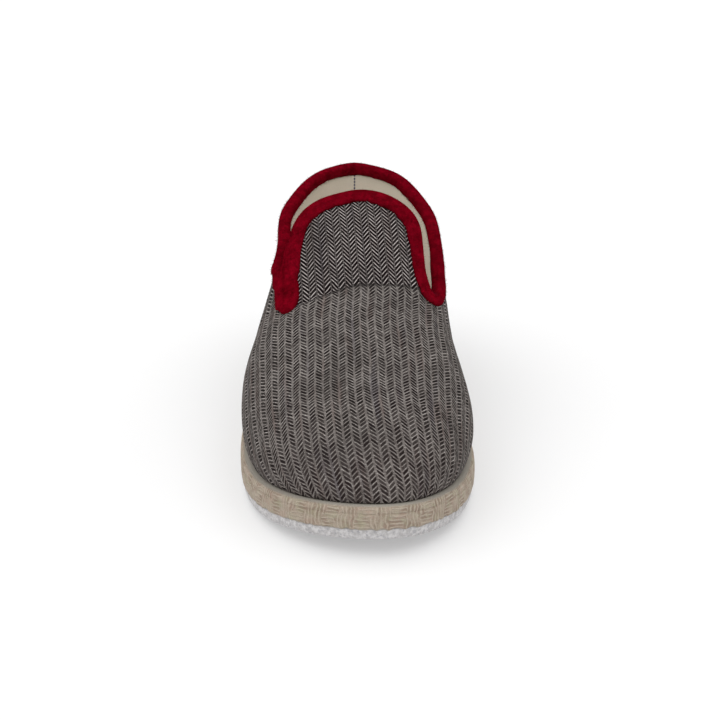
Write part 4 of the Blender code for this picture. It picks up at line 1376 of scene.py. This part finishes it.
def tweed_material():
    """Herringbone: columns along the shoe whose light yarns slant one way and then the other."""
    n = Nodes("tweed", roughness=0.95, sheen=0.0, sheen_rough=0.45, specular=0.05)
    uv, run, girth = n.uv()
    fibre = n.noise(uv, 2600.0, 3.0, 0.6)

    # Above the fold at the tongue's root, and on the quarters, the cloth is crisp; elsewhere rubbed
    fold = run - n.range(girth, CREASE[0][1], 0.001, CREASE[0][0], CREASE[CREASE_TOP][0])
    tongue = n.range(abs(girth), *TONGUE_GIRTHS, 1.0, 0.0)
    crisp = n.larger(n.range(fold, *FOLD_EDGE) * tongue, n.range(run, *QUARTER_RUNS) * (1.0 - tongue))

    def either(rubbed, fresh):
        return n.range(crisp, 0.0, 1.0, rubbed, fresh)

    start = n.range(run, *START_RUNS, *COLUMN_START)
    period = n.range(run, *COLUMN_RUNS, WEAVE_COLUMN_TOE, WEAVE_COLUMN)
    lean = n.math("SMOOTH_MAX", run - LEAN_FROM, 0.0, LEAN_EASE)
    lean = lean * n.range(abs(girth), *LEAN_GIRTHS, TONGUE_LEAN, 0.0)
    drift = (n.noise(uv, 60.0) - 0.5) * 0.35
    jitter = (n.noise(uv, 330.0) - 0.5) * either(*JITTER)
    wide = (girth - start + lean) / period + (drift * 0.4 + jitter * 0.25)
    index = wide.floor()
    centred = wide - index - 0.5
    parity = n.math("FLOORED_MODULO", index, 2.0)
    rise = (1.0 - parity * 2.0) * centred * n.range(run, *STEEP_RUNS, WEAVE_RISE, WEAVE_RISE_TONGUE)
    ahead = n.larger(TOE_CURL_RUN - run, 0.0)
    phase = run / WEAVE_ROW + (rise + parity * 0.5) - ahead * ahead * TOE_CURL + (drift + jitter)
    row = phase.floor()
    tent = abs((phase - row) * 2.0 - 1.0)

    # Short dark slits in the middle of a column, small dark dots where two columns meet
    off = abs(centred * 2.0)
    soft = n.range(run, *SOFT_RUNS, *SOFTNESS)
    half = either(*SLIT_LENGTH)
    depth = n.random(n.join(index, (phase + 0.5).floor(), 3.0))
    slit = n.range(tent, half - soft, half + soft)
    slit = slit * n.range(off, either(*SLIT_FADE), either(*SLIT_END), 1.0, 0.0)
    slit = slit * n.range(depth, 0.0, 1.0, either(*SLIT_DARK), 1.0)
    dot = n.range(tent, 0.46, 0.14) * n.range(off, 0.66, 0.88) * either(*DOT_DARK)
    ply = n.range(tent, 0.15, 0.75, 0.0, either(*YARN_SHADE))
    dark = n.larger(n.larger(slit, dot), ply)

    bright = either(0.0, 1.0)
    light = n.mix(n.random(n.join(index, row, 0.0)), n.mix(bright, *YARN_DIM), n.mix(bright, *YARN_PALE))
    speck = n.noise(uv, 820.0, 2.0, 0.7)
    brown = n.noise(n.join(girth * 260.0, run * 22.0), 1.0)
    blue = n.noise(n.join(girth * 240.0, run * 18.0, 7.0), 1.0)
    light = n.stains(light, (fibre, 0.35, 0.75, 0.55, DARK_FIBRE), (speck, 0.46, 0.34, 0.55, DARK_SPECK),
                     (speck, 0.54, 0.68, 0.60, PALE_SPECK), (brown, 0.52, 0.72, 0.35, BROWN_TINGE),
                     (blue, 0.55, 0.75, 0.30, BLUE_TINGE))
    colour = n.mix(dark, light, n.mix(fibre, *YARN_DARK))
    # Painted shade: darker and browner towards the toe tip; rubbed cloth is also a little darker from wear
    toe_shade_and_wear = n.range(run, *TOE_SHADE_RUNS, 0.12, 0.0) + either(*RUBBED)
    toe_shade_and_wear = toe_shade_and_wear * n.range(fibre, 0.3, 0.7, 0.6, 1.3)
    colour = n.mix(toe_shade_and_wear, colour, n.mix(n.range(run, *TOE_SHADE_BROWN_RUNS), *YARN_WORN_AND_SHADED))
    line = n.range(abs(fold + 0.0002), *CREASE_LINE, 0.62, 0.0)
    colour = n.mix(line * tongue, colour, CREASE_SHADE)
    colour = n.stains(colour, (n.noise(uv, 34.0, 3.0, 0.55), 0.45, 0.70, 0.24, CLOUD_SHADE))
    return n.finish(colour, n.bump((1.0 - dark) + fibre * 0.35, TWEED_RELIEF, 0.9))


def lining_material(seam_run):
    """Napped lining; its back seam is closed with small dark blue stitches."""
    n = Nodes("lining", roughness=0.95, sheen=0.25, sheen_rough=0.5, specular=0.1)
    _, run, girth = n.uv()
    place = n.place()
    nap = n.noise(place, 1500.0, 4.0, 0.65)
    colour = n.mix(n.noise(place, 70.0, 3.0), *LINING_CREAMS)
    colour = n.mix(nap * 0.30, colour, LINING_NAP)
    from_seam = seam_run - run
    along = n.math("FRACT", girth / STITCH)
    stitch = n.range(from_seam, *STITCH_WIDTH) * n.range(abs(along - 0.5), *STITCH_FILL)
    colour = n.mix(stitch, colour, STITCH_BLUE)
    groove = n.range(from_seam, *GROOVE_WIDTH)
    return n.finish(colour, n.bump(nap + groove * 1.5, LINING_RELIEF, 0.8))


def felt_material():
    """Red felt: soft clouds, fibres and tufts, painted shade in the lump's folds, a painted sheen on its
    paler hairs.
    """
    n = Nodes("red_felt", roughness=1.0, sheen=0.0, sheen_rough=0.4, specular=0.0)
    _, mark, fold = n.uv()
    place = n.place()
    fibre = n.noise(place, 1300.0, 4.0, 0.7, 0.6)
    cloud = n.noise(place, 160.0, 3.0, 0.6)
    tuft = n.noise(place, 560.0, 4.0, 0.75, 0.8)
    colour = n.stains(n.mix(n.range(cloud, 0.2, 0.8), *FELT_REDS), (fibre, 0.45, 0.75, 0.60, FELT_FIBRE),
                      (tuft, 0.50, 0.70, 0.55, FELT_BRIGHT), (tuft, 0.48, 0.30, 0.65, FELT_DARK_AND_FOLD_SHADE),
                      # Painted shade: darker in the lump's folds
                      (fold, FOLD_SHADE_MARK + 0.1, FOLD_SHADE_MARK + 0.9, 0.30, FELT_DARK_AND_FOLD_SHADE),
                      # Painted sheen: the hairs paler and pinker than the felt
                      (mark, 0.4 * HAIR_MARK, 0.6 * HAIR_MARK, 0.80, HAIR_SHEEN_RED))
    return n.finish(colour, n.bump(fibre * 0.6 + (cloud * 0.6 + tuft), FELT_RELIEF, 1.0))


def band_material():
    """Basket relief round the midsole: blocks of level ribs beside blocks of upright ribs; painted shade
    in the hollows.
    """
    n = Nodes("woven_band", roughness=0.9, sheen=0.05, sheen_rough=0.5, specular=0.15)
    uv, run, up = n.uv()
    run_in = run + (n.noise(uv, 150.0) - 0.5) * RIB_SWAY
    up_in = up + (n.noise(uv, 190.0, distortion=0.8) - 0.5) * RIB_ROCK
    odd = run_in / (2 * BLOCK) + n.range(up_in, *BAND_MIDDLE) * 0.12
    odd = n.range(n.math("COSINE", odd * TURN), -0.55, -0.05)
    level = n.math("COSINE", up_in * (TURN / RIB)) * (1.0 - odd)
    run_in = run_in + (n.noise(uv, 260.0, 1.0) - 0.5) * RIB_TREMBLE
    upright = n.math("COSINE", run_in * (TURN / RIB)) * odd
    rib = n.range(level + upright, -1.0, 1.0) * 0.66 + n.noise(uv, 650.0, 3.0, 0.6) * 0.44
    face = n.range(up, *BAND_FOOT) * n.range(up, *BAND_LEDGE_AT)
    fibre = n.noise(uv, 1800.0, 3.0, 0.65)
    tint = n.noise(uv, 240.0, 2.0, 0.5, 0.4)
    patchy = n.range(n.noise(uv, 170.0, 1.0), 0.38, 0.62, 0.30, 0.92)
    colour = n.mix(n.noise(uv, 90.0, 3.0), *BAND_BEIGES)
    # Painted shade: the hollows between the ribs darker, more so in random patches
    colour = n.mix((1.0 - rib) * face * patchy, colour, BAND_HOLLOW_SHADE)
    colour = n.stains(colour, (fibre, 0.4, 0.7, 0.45, BAND_FIBRE), (tint, 0.5, 0.7, 0.35, BAND_ROSE),
                      (tint, 0.5, 0.3, 0.35, BAND_OLIVE))
    colour = n.mix((1.0 - face) * 0.7, colour, BAND_LEDGE)
    return n.finish(colour, n.bump(rib * face + fibre * 0.4, BAND_RELIEF, 0.9))


def rubber_material():
    """Off-white rubber with small darker specks."""
    n = Nodes("speckled_rubber", roughness=0.6, sheen=0.0, sheen_rough=0.5, specular=0.3)
    place = n.place()
    colour = n.mix(n.range(n.noise(place, 560.0, 3.0, 0.6), 0.35, 0.65), *RUBBER_GREYS)
    colour = n.stains(colour, (n.noise(place, 900.0, 3.0, 0.6), 0.52, 0.66, 0.6, RUBBER_SPECK))
    return n.finish(colour, n.bump(n.noise(place, 700.0, 3.0), RUBBER_RELIEF, 0.5))


# Pieces

pattern = Pattern(Last())
skin = Skin(pattern)
tweed = shell("tweed_upper", skin, 0.0, CLOTH_THICK, tweed_material())
lining = shell("lining", skin, CLOTH_THICK, WALL, lining_material(float(pattern.end)))
felt = felt_binding(pattern, felt_material())
band = sole_layer("woven_midsole", MIDSOLE_SIDE, BAND_RINGS, MIDSOLE_EDGE_ROUND, 0.0,
                  midsole_bottom, midsole_top, band_material(), RAGGED_DEPTH)
rubber = sole_layer("rubber_outsole", OUTSOLE_SIDE, OUTSOLE_RINGS, OUTSOLE_EDGE_ROUND, 0.0,
                    ground_lift, outsole_top, rubber_material())
sock = sole_layer("lined_insole", INSOLE_SIDE, INSOLE_RINGS, INSOLE_EDGE_SLOPE,
                  FEATHER_INSET + WALL + INSOLE_GAP, footbed, insole_top, lining.data.materials[0])

for piece, node in ((tweed, "upper"), (lining, "upper"), (felt, "binding"), (band, "midsole"),
                    (rubber, "outsole"), (sock, "insole")):
    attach(piece, "root")
    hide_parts(node)

# Studio

scene = bpy.context.scene
scene.view_settings.view_transform = "Standard"
scene.view_settings.look = "None"

floor_mesh = bpy.data.meshes.new("floor")
floor_corners = [(x * FLOOR_REACH, y * FLOOR_REACH, 0) for x, y in ((-1, -1), (1, -1), (1, 1), (-1, 1))]
floor_mesh.from_pydata(floor_corners, [], [(0, 1, 2, 3)])
floor = bpy.data.objects.new("floor", floor_mesh)
scene.collection.objects.link(floor)
plain = Nodes("floor", roughness=0.8, sheen=0.0, sheen_rough=0.5, specular=0.1)
plain.shader.inputs["Emission Color"].default_value = (1, 1, 1, 1)
plain.shader.inputs["Emission Strength"].default_value = FLOOR_GLOW
floor_mesh.materials.append(plain.finish(plain.mix(plain.noise(plain.place(), 3.0), *FLOOR_GREYS)))

world = bpy.data.worlds.new("studio")
world.use_nodes = True
sky = world.node_tree.nodes["Background"]
sky.inputs["Color"].default_value = (1.0, 1.0, 1.0, 1)
sky.inputs["Strength"].default_value = SKY_STRENGTH
scene.world = world

sun = bpy.data.lights.new("overhead", "SUN")
sun.energy = SUN_POWER
sun.angle = math.radians(SUN_ANGLE)
lamp = bpy.data.objects.new("overhead", sun)
lamp.rotation_euler = Vector(SUN_HEADING).to_track_quat("-Z", "Y").to_euler()
scene.collection.objects.link(lamp)

camera = bpy.data.cameras.new("camera")
camera.lens = 85.0
camera.sensor_width = 36.0
camera.clip_start = 0.01
camera.clip_end = 20.0
eye = bpy.data.objects.new("camera", camera)
scene.collection.objects.link(eye)
pitch, yaw = math.radians(EYE_PITCH), math.radians(EYE_YAW)
forward = Vector((math.sin(yaw) * math.cos(pitch), math.cos(yaw) * math.cos(pitch), -math.sin(pitch)))
right = Vector((math.cos(yaw), -math.sin(yaw), 0))
turned = Matrix((right, right.cross(forward), -forward)).transposed().to_4x4()
eye.matrix_world = Matrix.Translation(EYE) @ turned
scene.camera = eye
